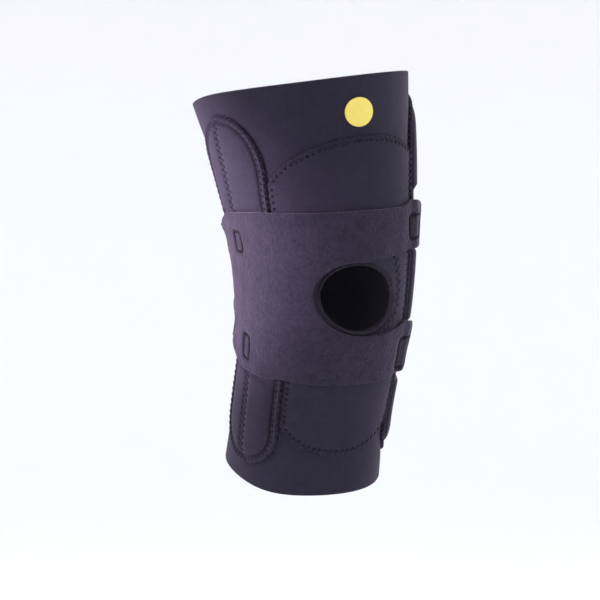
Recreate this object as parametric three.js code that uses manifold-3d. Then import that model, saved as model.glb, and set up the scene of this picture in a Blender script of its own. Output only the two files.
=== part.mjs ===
// A neoprene knee sleeve in the shape that it takes when worn on a right leg. A tube with a
// kneecap hole carries a front panel and two padded side panels. Over them lies a C-shaped
// wrap, closed on the outer side of the knee, and two straps draw its corners back.
//
// Millimetres and degrees. +Z runs up the leg, the kneecap looks along -Y, and +X is the
// inner side of the leg. The origin is the middle of the leg passage at the kneecap's
// height. Angles round the leg count from the front, with the inner side positive.

import * as THREE from 'three';
import Module from 'manifold-3d';

const wasm = await Module();
wasm.setup();

// Clearance between layers that lie on each other
const gap = 0.45;

// Sleeve: its length along the leg, its widths from side to side, and how the leg bends
const sleeveLength = 313;
const sleeveWall = 3.2;
const calfWidth = 124;
const kneeWidth = 131;
const thighWidth = 173;
const thighSway = 18;
const thighLean = 7;
const calfLean = 14;
const bendLength = 30;
const cornerFullness = 0.03;
const kneecapBulge = 4;
const kneecapReach = 36;
const kneecapSpan = 24;
const rimSlant = 5;
const rimRise = 1.2;
const rimShare = 0.3;
const rimDip = 4;
const rimDipAngle = -118;
const rimDipSpan = 26;

// Kneecap hole: an oval, its outer end a little higher than its inner end
const holeWidth = 64;
const holeHeight = 44.6;
const holeOffset = 4.2;
const holeTilt = -5.7;
const bindingWidth = 2;
const bindingProud = 0.1;

// Front panel
const frontPanelThickness = 2;
const frontPanelTopMargin = 44.5;
const frontPanelBottomMargin = 34.5;
const archCentre = 4;
const archSpan = 55.5;
const archDrop = 41;
const smileSpan = 58;
const smileRise = 50;

// Side panels: a flat sewn flange round a padded middle, which the wrap presses flatter.
// The outer panel's rear half spans outerRearShare of what its front half does.
const flangeThickness = 2;
const flangeWidth = 6.5;
const outerThickness = 3.8;
const outerPressed = 2.2;
const innerThickness = 4.8;
const innerPressed = 3.4;
const sidePanelTopMargin = 15;
const sidePanelBottomMargin = 16;
const sidePanelTopSpan = 69;
const sidePanelBottomSpan = 75;
const outerRearShare = 0.74;
const topCapLength = 50;
const bottomCapLength = 32;
const panelSpacing = 0.6;
const pressFade = 9;

// Wrap: its reach above and below the kneecap's middle, and the angles where it ends
const wrapThickness = 2.5;
const wrapRise = 66;
const wrapDrop = 68;
const wrapOuterEnd = -133;
const wrapInnerEnd = 72;
const openingHalfWidth = 37.5;
const openingHalfHeight = 24.2;
const mouthRise = 4;
const mouthDrop = 2;
const mouthLength = 60;
const climbSpan = 11;

// Straps: from under the wrap's outer corners, round the back, to under its arms
const strapWidth = 25;
const strapThickness = 1.5;
const upperStrapHeight = 42;
const lowerStrapHeight = -43;
const strapOuterEnd = -125;
const strapInnerEnd = 52;
const strapFade = 20;
const strapRampNear = 3;
const strapRampFar = 16;
const strapEndNear = 2;
const strapEndFar = 8;

// Round patch
const patchDiameter = 23.5;
const patchThickness = 0.8;
const patchTopMargin = 27;
const patchAngle = 9;

// Cross-sections up the leg. at is the share of the sleeve's length from its lower rim;
// front and back are depths as shares of half the width; sway is a share of thighSway.
const sections = [
  { at: 0.00, width: 1.02 * calfWidth, front: 0.91, back: 1.10, sway: -0.41 },
  { at: 0.17, width: 0.98 * calfWidth, front: 0.92, back: 1.08, sway: -0.35 },
  { at: 0.34, width: 1.00 * calfWidth, front: 1.00, back: 0.95, sway: -0.21 },
  { at: 0.46, width: 1.00 * kneeWidth, front: 1.00, back: 0.92, sway: -0.18 },
  { at: 0.60, width: 1.05 * kneeWidth, front: 1.00, back: 0.95, sway: -0.23 },
  { at: 0.80, width: 0.88 * thighWidth, front: 0.98, back: 0.98, sway: -0.51 },
  { at: 1.00, width: 1.00 * thighWidth, front: 0.98, back: 0.98, sway: -1.00 },
];

// Middle line of each side panel. at is the share of the panel's length from its lower
// end, and outer and inner are angles from the front.
const sidePanelLines = [
  { at: 0.00, outer: -78.0, inner: 86 },
  { at: 0.13, outer: -80.5, inner: 88 },
  { at: 0.50, outer: -84.0, inner: 85 },
  { at: 0.74, outer: -86.5, inner: 85.5 },
  { at: 0.88, outer: -83.0, inner: 86.5 },
  { at: 1.00, outer: -77.5, inner: 86 },
];

// Padding across a side panel. at is the share of the way from its middle line to its
// edge, and height the share of the padding's full height: two channels and a seam.
const padding = [
  { at: 0.00, height: 0.30 },
  { at: 0.07, height: 0.75 },
  { at: 0.26, height: 1.00 },
  { at: 0.44, height: 1.00 },
  { at: 0.62, height: 0.96 },
  { at: 0.76, height: 0.70 },
  { at: 0.84, height: 0.00 },
  { at: 1.00, height: 0.00 },
];

// Edges of the wrap. at is the share of the way from its outer end to its inner end; top
// is a share of wrapRise and bottom a share of wrapDrop.
const wrapEdges = [
  { at: 0.00, top: 0.76, bottom: 0.74 },
  { at: 0.07, top: 0.84, bottom: 0.83 },
  { at: 0.12, top: 0.92, bottom: 0.92 },
  { at: 0.18, top: 0.99, bottom: 0.99 },
  { at: 0.24, top: 1.00, bottom: 1.00 },
  { at: 0.36, top: 1.00, bottom: 0.95 },
  { at: 0.42, top: 0.98, bottom: 0.91 },
  { at: 0.50, top: 0.95, bottom: 0.90 },
  { at: 0.63, top: 0.91, bottom: 0.90 },
  { at: 0.77, top: 0.88, bottom: 0.88 },
  { at: 0.82, top: 0.88, bottom: 0.87 },
  { at: 0.86, top: 0.92, bottom: 0.86 },
  { at: 0.94, top: 0.89, bottom: 0.80 },
  { at: 1.00, top: 0.82, bottom: 0.66 },
];

// Corners of the wrap that stand off the leg. at is a share as above, height a share of
// wrapRise above the kneecap's middle or of wrapDrop below it, and lift in millimetres.
const cornerFlares = [
  { at: 0.07, height: 0.84, lift: 2.0 },
  { at: 0.07, height: -0.80, lift: 1.2 },
  { at: 1.00, height: 0.82, lift: 2.0 },
  { at: 1.00, height: -0.40, lift: 2.0 },
];
const flareSpan = 12;
const flareReach = 10;

// Facets: how finely each piece is divided round and along the leg
const sleeveColumns = 48;
const sleeveRows = 18;
const panelColumns = 14;
const panelRows = 15;
const sidePanelStep = 22;
const wrapColumns = 28;
const wrapRows = 15;
const strapColumns = 30;
const holeColumns = 16;
const patchColumns = 12;

const degree = Math.PI / 180;

function mix(from, to, share) {
  return from + (to - from) * share;
}

// An angle counted from a centre, the short way round the leg.
function awayFrom(angle, centre) {
  return (angle - centre + 540) % 360 - 180;
}

// Rises smoothly from 0 at one value to 1 at another.
function ease(from, to, value) {
  const t = Math.min(Math.max((value - from) / (to - from), 0), 1);
  return t * t * (3 - 2 * t);
}

// The slope of a table's column at a row, weighted by the nearness of its neighbours.
function slope(table, column, row) {
  const last = table.length - 1;
  const rise = (i) => (table[i + 1][column] - table[i][column]) / (table[i + 1].at - table[i].at);
  if (row === 0) return rise(0);
  if (row === last) return rise(last - 1);
  const below = table[row].at - table[row - 1].at;
  const above = table[row + 1].at - table[row].at;
  return (above * rise(row - 1) + below * rise(row)) / (below + above);
}

// The value of a table's column at a place, on a smooth curve through its rows.
function read(table, column, place) {
  let row = 0;
  while (row < table.length - 2 && place > table[row + 1].at) row += 1;
  const span = table[row + 1].at - table[row].at;
  const t = (place - table[row].at) / span;
  const rise = table[row + 1][column] - table[row][column];
  const start = slope(table, column, row) * span;
  const end = slope(table, column, row + 1) * span;
  return table[row][column] + t * start + t * t * (3 * rise - 2 * start - end)
    + t * t * t * (start + end - 2 * rise);
}

// The value of a table's column at a place, on straight lines between its rows.
function readStraight(table, column, place) {
  let row = 0;
  while (row < table.length - 2 && place > table[row + 1].at) row += 1;
  const t = (place - table[row].at) / (table[row + 1].at - table[row].at);
  return mix(table[row][column], table[row + 1][column], t);
}

// The leg's middle line: straight above and below the knee, with a smooth bend between.
function legLine(height) {
  const bendAway = (distance) => bendLength * (Math.log1p(Math.exp(distance / bendLength)) - Math.LN2);
  const back = Math.tan(thighLean * degree) * bendAway(height)
    + Math.tan(calfLean * degree) * bendAway(-height);
  return new THREE.Vector3(thighSway * read(sections, 'sway', 0.5 + height / sleeveLength), back, height);
}

// A point on the sleeve's outer face, at an angle from the front and a height.
function barePoint(angle, height) {
  const share = 0.5 + height / sleeveLength;
  const turn = angle * degree;
  const up = legLine(height + 1).sub(legLine(height - 1)).normalize();
  const side = new THREE.Vector3(1, 0, 0).addScaledVector(up, -up.x).normalize();
  const forward = side.clone().cross(up);
  const halfWidth = read(sections, 'width', share) / 2;
  const depth = halfWidth * read(sections, Math.cos(turn) > 0 ? 'front' : 'back', share);
  const across = Math.sin(turn) + cornerFullness * Math.sin(3 * turn);
  const ahead = Math.cos(turn) - cornerFullness * Math.cos(3 * turn);
  const bulge = kneecapBulge
    * Math.exp(-((awayFrom(angle, 0) / kneecapSpan) ** 2) - (height / kneecapReach) ** 2);
  const nearTop = ease(1 - rimShare, 1, share);
  const nearBottom = ease(rimShare, 0, share);
  const dip = rimDip * Math.exp(-((awayFrom(angle, rimDipAngle) / rimDipSpan) ** 2));
  const rim = nearTop * (rimRise * Math.cos(turn) - rimSlant * Math.sin(turn) - dip) - nearBottom * dip;
  return legLine(height)
    .addScaledVector(side, halfWidth * across)
    .addScaledVector(forward, depth * ahead + bulge)
    .addScaledVector(up, rim);
}

// A point that stands off the sleeve's outer face by a lift, along the face's normal.
function skin(angle, height, lift) {
  const around = barePoint(angle + 0.5, height).sub(barePoint(angle - 0.5, height));
  const along = barePoint(angle, height + 1).sub(barePoint(angle, height - 1));
  return barePoint(angle, height).addScaledVector(around.cross(along).normalize(), lift);
}

// Millimetres for each degree round the leg, at an angle and height.
function girthScale(angle, height) {
  return barePoint(angle + 0.5, height).distanceTo(barePoint(angle - 0.5, height));
}

// Joins closed rings of points, each with as many points, into one solid. Open ends are
// closed by strips between the first half of the end ring and its second half.
function loft(rings, closed) {
  const size = rings[0].length;
  const positions = rings.flat().flatMap((point) => point.toArray());
  const triangles = [];
  const quad = (a, b, c, d) => triangles.push(a, b, c, a, c, d);
  const joints = closed ? rings.length : rings.length - 1;
  for (let i = 0; i < joints; i += 1) {
    const here = i * size;
    const next = ((i + 1) % rings.length) * size;
    for (let k = 0; k < size; k += 1) {
      const after = (k + 1) % size;
      quad(here + k, here + after, next + after, next + k);
    }
  }
  if (!closed) {
    const last = (rings.length - 1) * size;
    for (let k = 0; k < size / 2 - 1; k += 1) {
      const across = size - 1 - k;
      quad(k, across, across - 1, k + 1);
      quad(last + k, last + k + 1, last + across - 1, last + across);
    }
  }
  const turnedIn = signedVolume(positions, triangles) < 0;
  if (turnedIn) triangles.reverse();
  return new wasm.Manifold(new wasm.Mesh({
    numProp: 3,
    vertProperties: new Float32Array(positions),
    triVerts: new Uint32Array(triangles),
  }));
}

function signedVolume(positions, triangles) {
  const corner = (index) => new THREE.Vector3().fromArray(positions, 3 * index);
  let volume = 0;
  for (let i = 0; i < triangles.length; i += 3) {
    const [a, b, c] = [0, 1, 2].map((k) => corner(triangles[i + k]));
    volume += a.dot(b.cross(c)) / 6;
  }
  return volume;
}

// A sheet that follows the leg. place gives the angle, the height and the lifts of the
// inner and outer face at two shares: round the leg, and up it.
function sheet(columns, rows, closed, place) {
  const rings = [];
  for (let i = 0; i < columns + (closed ? 0 : 1); i += 1) {
    const outer = [];
    const inner = [];
    for (let j = 0; j <= rows; j += 1) {
      const spot = place(i / columns, j / rows);
      outer.push(skin(spot.angle, spot.height, spot.outside));
      inner.unshift(skin(spot.angle, spot.height, spot.inside));
    }
    rings.push([...outer, ...inner]);
  }
  return loft(rings, closed);
}

// A round or oval sheet, in upright columns that shorten towards both sides.
function ovalSheet(columns, rows, oval, grow, inside, outside) {
  const fullTurn = 88;
  return sheet(columns, rows, false, (a, b) => {
    const turn = mix(-fullTurn, fullTurn, a) * degree;
    const across = (oval.width / 2 + grow) * Math.sin(turn);
    const halfHeight = (oval.height / 2 + grow) * Math.cos(turn);
    return {
      angle: oval.angle + across / girthScale(oval.angle, oval.level),
      height: oval.level + Math.tan(oval.tilt * degree) * across + mix(-halfHeight, halfHeight, b),
      inside,
      outside,
    };
  });
}

// Kneecap hole

const holeCentre = holeOffset / girthScale(0, 0);
const hole = { angle: holeCentre, level: 0, width: holeWidth, height: holeHeight, tilt: holeTilt };
const cutterReach = 30;

function holeCutter() {
  return ovalSheet(holeColumns, 4, hole, bindingWidth + gap, -cutterReach, cutterReach);
}

// Side panels

const sidePanelTop = sleeveLength / 2 - sidePanelTopMargin;
const sidePanelBottom = -sleeveLength / 2 + sidePanelBottomMargin;

function sidePanelShare(height) {
  return (height - sidePanelBottom) / (sidePanelTop - sidePanelBottom);
}

function sidePanelMiddle(side, height) {
  return read(sidePanelLines, side, sidePanelShare(height));
}

function sidePanelHalfSpan(height) {
  return mix(sidePanelBottomSpan, sidePanelTopSpan, sidePanelShare(height)) / 2;
}

// The span of a side panel's rear half at a height, behind its middle line.
function sidePanelRearSpan(side, height) {
  return sidePanelHalfSpan(height) * (side === 'outer' ? outerRearShare : 1);
}

// The share of its full width that a side panel has at a height, under its round ends.
function capShare(height) {
  const intoTop = (height - sidePanelTop + topCapLength) / topCapLength;
  const intoBottom = (sidePanelBottom + bottomCapLength - height) / bottomCapLength;
  const into = Math.min(Math.max(intoTop, intoBottom, 0), 0.99);
  return Math.sqrt(1 - into * into);
}

const mouthEdge = openingHalfHeight + mouthDrop;

// How hard the wrap presses on a side panel at a height, from 0 to 1. On the inner side it
// leaves the panel free in the mouth of its opening.
function press(side, height) {
  const upper = ease(wrapRise + pressFade, wrapRise, height);
  const lower = ease(-wrapDrop - pressFade, -wrapDrop, height);
  const mouth = side === 'outer' ? 0 : ease(mouthEdge, mouthEdge - pressFade, Math.abs(height));
  return upper * lower * (1 - mouth);
}

// The padded height of a side panel at a height, above its flange.
function padHeight(side, height) {
  const [free, pressed] = side === 'outer'
    ? [outerThickness, outerPressed] : [innerThickness, innerPressed];
  return mix(free, pressed, press(side, height)) - flangeThickness;
}

// Places between stops, filled in so that no step is longer than the one given.
function fill(stops, longest) {
  const sorted = [...stops].sort((a, b) => a - b);
  return sorted.slice(1).flatMap((stop, i) => {
    const count = Math.ceil((stop - sorted[i]) / longest);
    return Array.from({ length: count }, (_, k) => mix(sorted[i], stop, (k + 1) / count));
  });
}

function sidePanel(side) {
  const acrossShares = padding.map((row) => row.at);
  const columnShares = [...acrossShares.slice(1).map((share) => -share).reverse(), ...acrossShares];
  const capTurns = [8, 18, 30, 43, 57, 73, 90];
  const capDepths = capTurns.map((turn) => 1 - Math.cos(turn * degree));
  const straightFrom = sidePanelBottom + bottomCapLength;
  const straightTo = sidePanelTop - topCapLength;
  const pressEdges = [-wrapDrop - pressFade, -wrapDrop, -mouthEdge, pressFade - mouthEdge,
    mouthEdge - pressFade, mouthEdge, wrapRise, wrapRise + pressFade];
  const heights = [
    ...capDepths.map((depth) => sidePanelBottom + depth * bottomCapLength),
    ...fill([straightFrom, ...pressEdges, straightTo], sidePanelStep),
    ...capDepths.map((depth) => sidePanelTop - depth * topCapLength).reverse().slice(1),
  ];
  const rows = heights.length - 1;
  const columns = columnShares.length - 1;
  return sheet(columns, rows, false, (a, b) => {
    const height = heights[Math.round(b * rows)];
    const across = columnShares[Math.round(a * columns)];
    const fromEnd = Math.min(height - sidePanelBottom, sidePanelTop - height);
    const endHeight = ease(flangeWidth, 2.5 * flangeWidth, fromEnd);
    const pad = padHeight(side, height) * Math.min(readStraight(padding, 'height', Math.abs(across)), endHeight);
    const rearward = side === 'outer' ? across < 0 : across > 0;
    const span = rearward ? sidePanelRearSpan(side, height) : sidePanelHalfSpan(height);
    return {
      angle: sidePanelMiddle(side, height) + across * span * capShare(height),
      height,
      inside: gap,
      outside: gap + flangeThickness + pad,
    };
  });
}

// Front panel

const frontPanelTop = sleeveLength / 2 - frontPanelTopMargin;
const frontPanelBottom = -sleeveLength / 2 + frontPanelBottomMargin;

// How far an elliptical edge has dropped from its top, at an angle from its middle.
function arch(angle, span, drop) {
  return drop * (1 - Math.sqrt(1 - Math.min(Math.abs(angle / span), 1) ** 2));
}

function outerBorder(height) {
  return sidePanelMiddle('outer', height) + sidePanelHalfSpan(height);
}

function innerBorder(height) {
  return sidePanelMiddle('inner', height) - sidePanelHalfSpan(height);
}

function frontPanel() {
  const panel = sheet(panelColumns, panelRows, false, (a, b) => {
    const middle = mix(outerBorder(0), innerBorder(0), a);
    const top = frontPanelTop - arch(middle - archCentre, archSpan, archDrop);
    const bottom = frontPanelBottom + arch(middle, smileSpan, smileRise);
    const height = mix(bottom, top, b);
    const left = outerBorder(height) + panelSpacing;
    const right = innerBorder(height) - panelSpacing;
    return {
      angle: mix(left, right, a),
      height,
      inside: gap,
      outside: gap + frontPanelThickness,
    };
  });
  return panel.subtract(holeCutter());
}

// Sleeve body and the binding of its hole

function sleeveBody() {
  const tube = sheet(sleeveColumns, sleeveRows, true, (a, b) => ({
    angle: 360 * a,
    height: mix(-sleeveLength / 2, sleeveLength / 2, b),
    inside: -sleeveWall,
    outside: 0,
  }));
  return tube.subtract(holeCutter());
}

// A ring of rounded section that fills the cut edge of the sleeve and the front panel.
function holeBinding() {
  const ringColumns = 2 * holeColumns;
  const corners = 8;
  const low = -sleeveWall - bindingProud;
  const high = gap + frontPanelThickness + bindingProud;
  const rings = [];
  for (let i = 0; i < ringColumns; i += 1) {
    const turn = 2 * Math.PI * i / ringColumns;
    const ring = [];
    for (let k = 0; k < corners; k += 1) {
      const corner = 2 * Math.PI * (k + 0.5) / corners;
      const grow = bindingWidth * (0.5 + 0.5 * Math.cos(corner) / Math.cos(Math.PI / corners));
      const lift = mix(low, high, 0.5 + 0.5 * Math.sin(corner) / Math.cos(Math.PI / corners));
      const across = (hole.width / 2 + grow) * Math.cos(turn);
      const up = (hole.height / 2 + grow) * Math.sin(turn) + Math.tan(hole.tilt * degree) * across;
      ring.push(skin(hole.angle + across / girthScale(0, 0), up, lift));
    }
    rings.push(ring);
  }
  return loft(rings, true);
}

// Wrap

// The top of the pressed layers under the wrap, which climbs from the front panel onto
// each side panel.
function layersUnder(angle, height) {
  const frontLayer = gap + frontPanelThickness;
  const outer = outerBorder(height);
  const inner = innerBorder(height);
  const ontoOuter = ease(outer + climbSpan, outer, angle);
  const ontoInner = ease(inner - climbSpan, inner, angle);
  return frontLayer + (outerPressed - frontPanelThickness) * ontoOuter
    + (innerPressed - frontPanelThickness) * ontoInner;
}

// How far a place lies over the end of a strap that runs at a given height, from 0 to 1.
function overStrap(angle, height, strapHeight) {
  const fromEdge = Math.abs(height - strapHeight) - strapWidth / 2;
  const pastEnd = Math.max(ease(strapOuterEnd + strapEndFar, strapOuterEnd + strapEndNear, angle),
    ease(strapInnerEnd - strapEndFar, strapInnerEnd - strapEndNear, angle));
  return ease(strapRampFar, strapRampNear, fromEdge) * pastEnd;
}

function flare(angle, height) {
  return cornerFlares.reduce((total, corner) => {
    const level = corner.height * (corner.height > 0 ? wrapRise : wrapDrop);
    const place = mix(wrapOuterEnd, wrapInnerEnd, corner.at);
    return total + corner.lift * Math.exp(
      -(((angle - place) / flareSpan) ** 2) - ((height - level) / flareReach) ** 2);
  }, 0);
}

function wrapLift(angle, height) {
  const strap = Math.max(overStrap(angle, height, upperStrapHeight),
    overStrap(angle, height, lowerStrapHeight));
  return layersUnder(angle, height) + gap + (strapThickness + gap) * strap + flare(angle, height);
}

// The opening's edge above (1) or below (-1) its middle: an ellipse on the closed side of
// the C, which opens out into a mouth between the arms.
function openingEdge(across, direction) {
  if (across < 0) {
    const round = Math.sqrt(1 - Math.min(across / openingHalfWidth, 1) ** 2);
    return direction * openingHalfHeight * round + Math.tan(holeTilt * degree) * across;
  }
  const along = across / mouthLength;
  const opened = direction > 0 ? mouthRise * ease(0, 1, along) : mouthDrop * along ** 2;
  return direction * (openingHalfHeight + opened);
}

function wrapPanel() {
  const layer = sheet(wrapColumns, wrapRows, false, (a, b) => {
    const angle = mix(wrapOuterEnd, wrapInnerEnd, a);
    const top = wrapRise * read(wrapEdges, 'top', a);
    const bottom = -wrapDrop * read(wrapEdges, 'bottom', a);
    const height = mix(bottom, top, b);
    const inside = wrapLift(angle, height);
    return { angle, height, inside, outside: inside + wrapThickness };
  });
  const quarter = 8;
  const mouthColumns = 10;
  const overrun = 20;
  const mouthEnd = (wrapInnerEnd + overrun - holeCentre) * girthScale(0, 0);
  const roundPlaces = Array.from({ length: quarter + 1 },
    (_, i) => -openingHalfWidth * Math.cos((1 + (89 * i) / quarter) * degree));
  const mouthPlaces = Array.from({ length: mouthColumns }, (_, i) => mouthEnd * (i + 1) / mouthColumns);
  const places = [...roundPlaces, ...mouthPlaces];
  const opening = sheet(places.length - 1, 4, false, (a, b) => {
    const across = places[Math.round(a * (places.length - 1))];
    return {
      angle: holeCentre + across / girthScale(0, 0),
      height: mix(openingEdge(across, -1), openingEdge(across, 1), b),
      inside: -cutterReach / 2,
      outside: cutterReach,
    };
  });
  return layer.subtract(opening);
}

// Straps

function strap(strapHeight) {
  return sheet(strapColumns, 2, false, (a, b) => {
    const angle = mix(strapInnerEnd, 360 + strapOuterEnd, a);
    const height = strapHeight + mix(-0.5, 0.5, b) * strapWidth;
    const outerRear = 360 + sidePanelMiddle('outer', height) - sidePanelRearSpan('outer', height);
    const innerRear = sidePanelMiddle('inner', height) + sidePanelRearSpan('inner', height);
    const onInner = ease(innerRear + strapFade, innerRear, angle);
    const onOuter = ease(outerRear - strapFade, outerRear, angle);
    const inside = gap + (gap + innerPressed) * onInner + (gap + outerPressed) * onOuter;
    return { angle, height, inside, outside: inside + strapThickness };
  });
}

// Round patch

function roundPatch() {
  const level = sleeveLength / 2 - patchTopMargin;
  const disc = { angle: patchAngle, level, width: patchDiameter, height: patchDiameter, tilt: 0 };
  return ovalSheet(patchColumns, 2, disc, 0, gap, gap + patchThickness);
}

// Materials

function cloth(color) {
  return new THREE.MeshStandardMaterial({ color, roughness: 0.9, metalness: 0 });
}

const neoprene = cloth(0x3b3847);
const padCover = cloth(0x454056);
const wrapCloth = cloth(0x4a4459);
const webbing = cloth(0x24222b);
const thread = cloth(0x1c1a22);
const patchInk = cloth(0xf0d860);

const kneeSleeve = new THREE.Group();

function add(name, solid, material) {
  const { vertProperties, triVerts } = solid.getMesh();
  const geometry = new THREE.BufferGeometry();
  geometry.setAttribute('position', new THREE.BufferAttribute(new Float32Array(vertProperties), 3));
  geometry.setIndex(new THREE.BufferAttribute(new Uint32Array(triVerts), 1));
  geometry.computeVertexNormals();
  const mesh = new THREE.Mesh(geometry, material);
  mesh.name = name;
  kneeSleeve.add(mesh);
}

add('sleeve_body', sleeveBody(), neoprene);
add('hole_binding', holeBinding(), thread);
add('front_panel', frontPanel(), neoprene);
add('side_panel_outer', sidePanel('outer'), padCover);
add('side_panel_inner', sidePanel('inner'), padCover);
add('wrap_panel', wrapPanel(), wrapCloth);
add('strap_upper', strap(upperStrapHeight), webbing);
add('strap_lower', strap(lowerStrapHeight), webbing);
add('round_patch', roundPatch(), patchInk);

export default kneeSleeve;
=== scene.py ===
import bpy
import numpy as np
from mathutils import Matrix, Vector


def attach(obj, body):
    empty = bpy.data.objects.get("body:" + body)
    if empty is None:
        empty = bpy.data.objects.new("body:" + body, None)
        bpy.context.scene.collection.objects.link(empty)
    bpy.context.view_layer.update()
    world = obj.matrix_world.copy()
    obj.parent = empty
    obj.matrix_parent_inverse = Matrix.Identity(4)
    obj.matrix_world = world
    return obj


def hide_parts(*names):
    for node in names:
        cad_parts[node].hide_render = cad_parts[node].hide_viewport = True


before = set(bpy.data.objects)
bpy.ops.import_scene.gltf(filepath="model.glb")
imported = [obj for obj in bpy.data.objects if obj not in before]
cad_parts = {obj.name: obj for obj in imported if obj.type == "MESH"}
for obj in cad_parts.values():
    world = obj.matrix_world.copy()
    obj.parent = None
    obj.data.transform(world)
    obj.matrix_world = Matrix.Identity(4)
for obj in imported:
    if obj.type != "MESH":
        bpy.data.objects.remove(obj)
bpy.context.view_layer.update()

# Sleeve body
# One tube of neoprene about 3 mm thick, faced with nylon jersey inside and out. It is cut
# to a slightly bent right leg and closed behind the knee by a flat zigzag seam; both rims
# are left as cut, so the black foam shows between the two jerseys.

SLEEVE_LENGTH = 0.313
SLEEVE_WALL = 0.0032
LAYER_GAP = 0.00045
CALF_WIDTH = 0.124
KNEE_WIDTH = 0.131
THIGH_WIDTH = 0.173
THIGH_SWAY = 0.018
THIGH_LEAN = 7
CALF_LEAN = 14
BEND_LENGTH = 0.030
CORNER_FULLNESS = 0.03
KNEECAP_BULGE = 0.004
KNEECAP_REACH = 0.036
KNEECAP_SPAN = 24
RIM_SLANT = 0.005
RIM_RISE = 0.0012
RIM_SHARE = 0.3
RIM_DIP = 0.004
RIM_DIP_ANGLE = -118
RIM_DIP_SPAN = 26

HOLE_WIDTH = 0.064
HOLE_HEIGHT = 0.0446
HOLE_OFFSET = 0.0042
HOLE_TILT = -5.7
BINDING_WIDTH = 0.002

# Sections up the leg: at is the share of the length from the lower rim, front and back
# are depths as shares of half the width, and sway is a share of THIGH_SWAY.
LEG_SECTIONS = [
    {"at": 0.00, "width": 1.02 * CALF_WIDTH, "front": 0.91, "back": 1.10, "sway": -0.41},
    {"at": 0.17, "width": 0.98 * CALF_WIDTH, "front": 0.92, "back": 1.08, "sway": -0.35},
    {"at": 0.34, "width": 1.00 * CALF_WIDTH, "front": 1.00, "back": 0.95, "sway": -0.21},
    {"at": 0.46, "width": 1.00 * KNEE_WIDTH, "front": 1.00, "back": 0.92, "sway": -0.18},
    {"at": 0.60, "width": 1.05 * KNEE_WIDTH, "front": 1.00, "back": 0.95, "sway": -0.23},
    {"at": 0.80, "width": 0.88 * THIGH_WIDTH, "front": 0.98, "back": 0.98, "sway": -0.51},
    {"at": 1.00, "width": 1.00 * THIGH_WIDTH, "front": 0.98, "back": 0.98, "sway": -1.00},
]

# Soft folds in the hollow behind the knee: level and slant in metres, depth inwards.
KNEE_FOLDS = [
    {"level": -0.020, "slant": 0.006, "depth": 0.0013},
    {"level": 0.000, "slant": -0.003, "depth": 0.0019},
    {"level": 0.019, "slant": 0.005, "depth": 0.0012},
]
FOLD_REACH = 0.0050
FOLD_SPAN = 42
FOLD_WANDER = 2.2
FOLD_LIP = 0.45
FOLD_LIP_PLACE = 1.9
WAVE_DEPTH = 0.0002


def ease(start, end, value):
    """Rises smoothly from 0 at start to 1 at end, along 3t squared less 2t cubed."""
    t = np.clip((value - start) / (end - start), 0, 1)
    return t * t * (3 - 2 * t)


def read(rows, column, place):
    """Value of a table's column at places: a cubic between neighbouring rows, whose slope
    at a row is the mean of the straight slopes beside it, weighted by nearness."""
    at = np.array([row["at"] for row in rows])
    value = np.array([row[column] for row in rows])
    step = np.diff(at)
    rise = np.diff(value) / step
    inner = (step[1:] * rise[:-1] + step[:-1] * rise[1:]) / (step[1:] + step[:-1])
    slope = np.concatenate([rise[:1], inner, rise[-1:]])
    i = np.clip(np.searchsorted(at, place, side="right") - 1, 0, len(at) - 2)
    t = (place - at[i]) / step[i]
    climb = rise[i] * step[i]
    start = slope[i] * step[i]
    end = slope[i + 1] * step[i]
    curve = t**2 * (3 * climb - 2 * start - end) + t**3 * (start + end - 2 * climb)
    return value[i] + t * start + curve


def unit(vectors):
    """Vectors divided by their length."""
    return vectors / np.linalg.norm(vectors, axis=-1, keepdims=True)


def leg_line(height):
    """The leg's middle line: straight above and below the knee, joined by a soft bend
    that grows as the logarithm of one plus an exponential."""
    def bend(distance):
        return BEND_LENGTH * (np.log1p(np.exp(distance / BEND_LENGTH)) - np.log(2))
    x = THIGH_SWAY * read(LEG_SECTIONS, "sway", 0.5 + height / SLEEVE_LENGTH)
    y = np.tan(np.radians(THIGH_LEAN)) * bend(height) + np.tan(np.radians(CALF_LEAN)) * bend(-height)
    return np.stack([x, y, height], axis=-1)


def away_from(angle, centre):
    """Angle from a centre, the short way round, in degrees."""
    return (angle - centre + 540) % 360 - 180


def bare_point(angle, height):
    """The sleeve's outer face at an angle from the front and a height: a circle drawn out
    to the width and depth there and squared by a third harmonic, swollen over the
    kneecap by a bell curve, with its ends shifted up or down to the slanted rims."""
    angle, height = np.broadcast_arrays(np.asarray(angle, float), np.asarray(height, float))
    share = 0.5 + height / SLEEVE_LENGTH
    turn = np.radians(angle)
    middle = leg_line(height)
    up = unit(leg_line(height + 0.001) - leg_line(height - 0.001))
    side = unit(np.array([1.0, 0.0, 0.0]) - up * up[..., :1])
    forward = np.cross(side, up)
    half_width = read(LEG_SECTIONS, "width", share) / 2
    front = read(LEG_SECTIONS, "front", share)
    back = read(LEG_SECTIONS, "back", share)
    depth = half_width * np.where(np.cos(turn) > 0, front, back)
    across = np.sin(turn) + CORNER_FULLNESS * np.sin(3 * turn)
    ahead = np.cos(turn) - CORNER_FULLNESS * np.cos(3 * turn)
    from_front = away_from(angle, 0)
    bulge = KNEECAP_BULGE * np.exp(-((from_front / KNEECAP_SPAN) ** 2) - (height / KNEECAP_REACH) ** 2)
    dip = RIM_DIP * np.exp(-((away_from(angle, RIM_DIP_ANGLE) / RIM_DIP_SPAN) ** 2))
    near_top = ease(1 - RIM_SHARE, 1, share)
    near_bottom = ease(RIM_SHARE, 0, share)
    rim = near_top * (RIM_RISE * np.cos(turn) - RIM_SLANT * np.sin(turn) - dip) - near_bottom * dip
    return (middle + side * (half_width * across)[..., None]
            + forward * (depth * ahead + bulge)[..., None] + up * rim[..., None])


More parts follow.
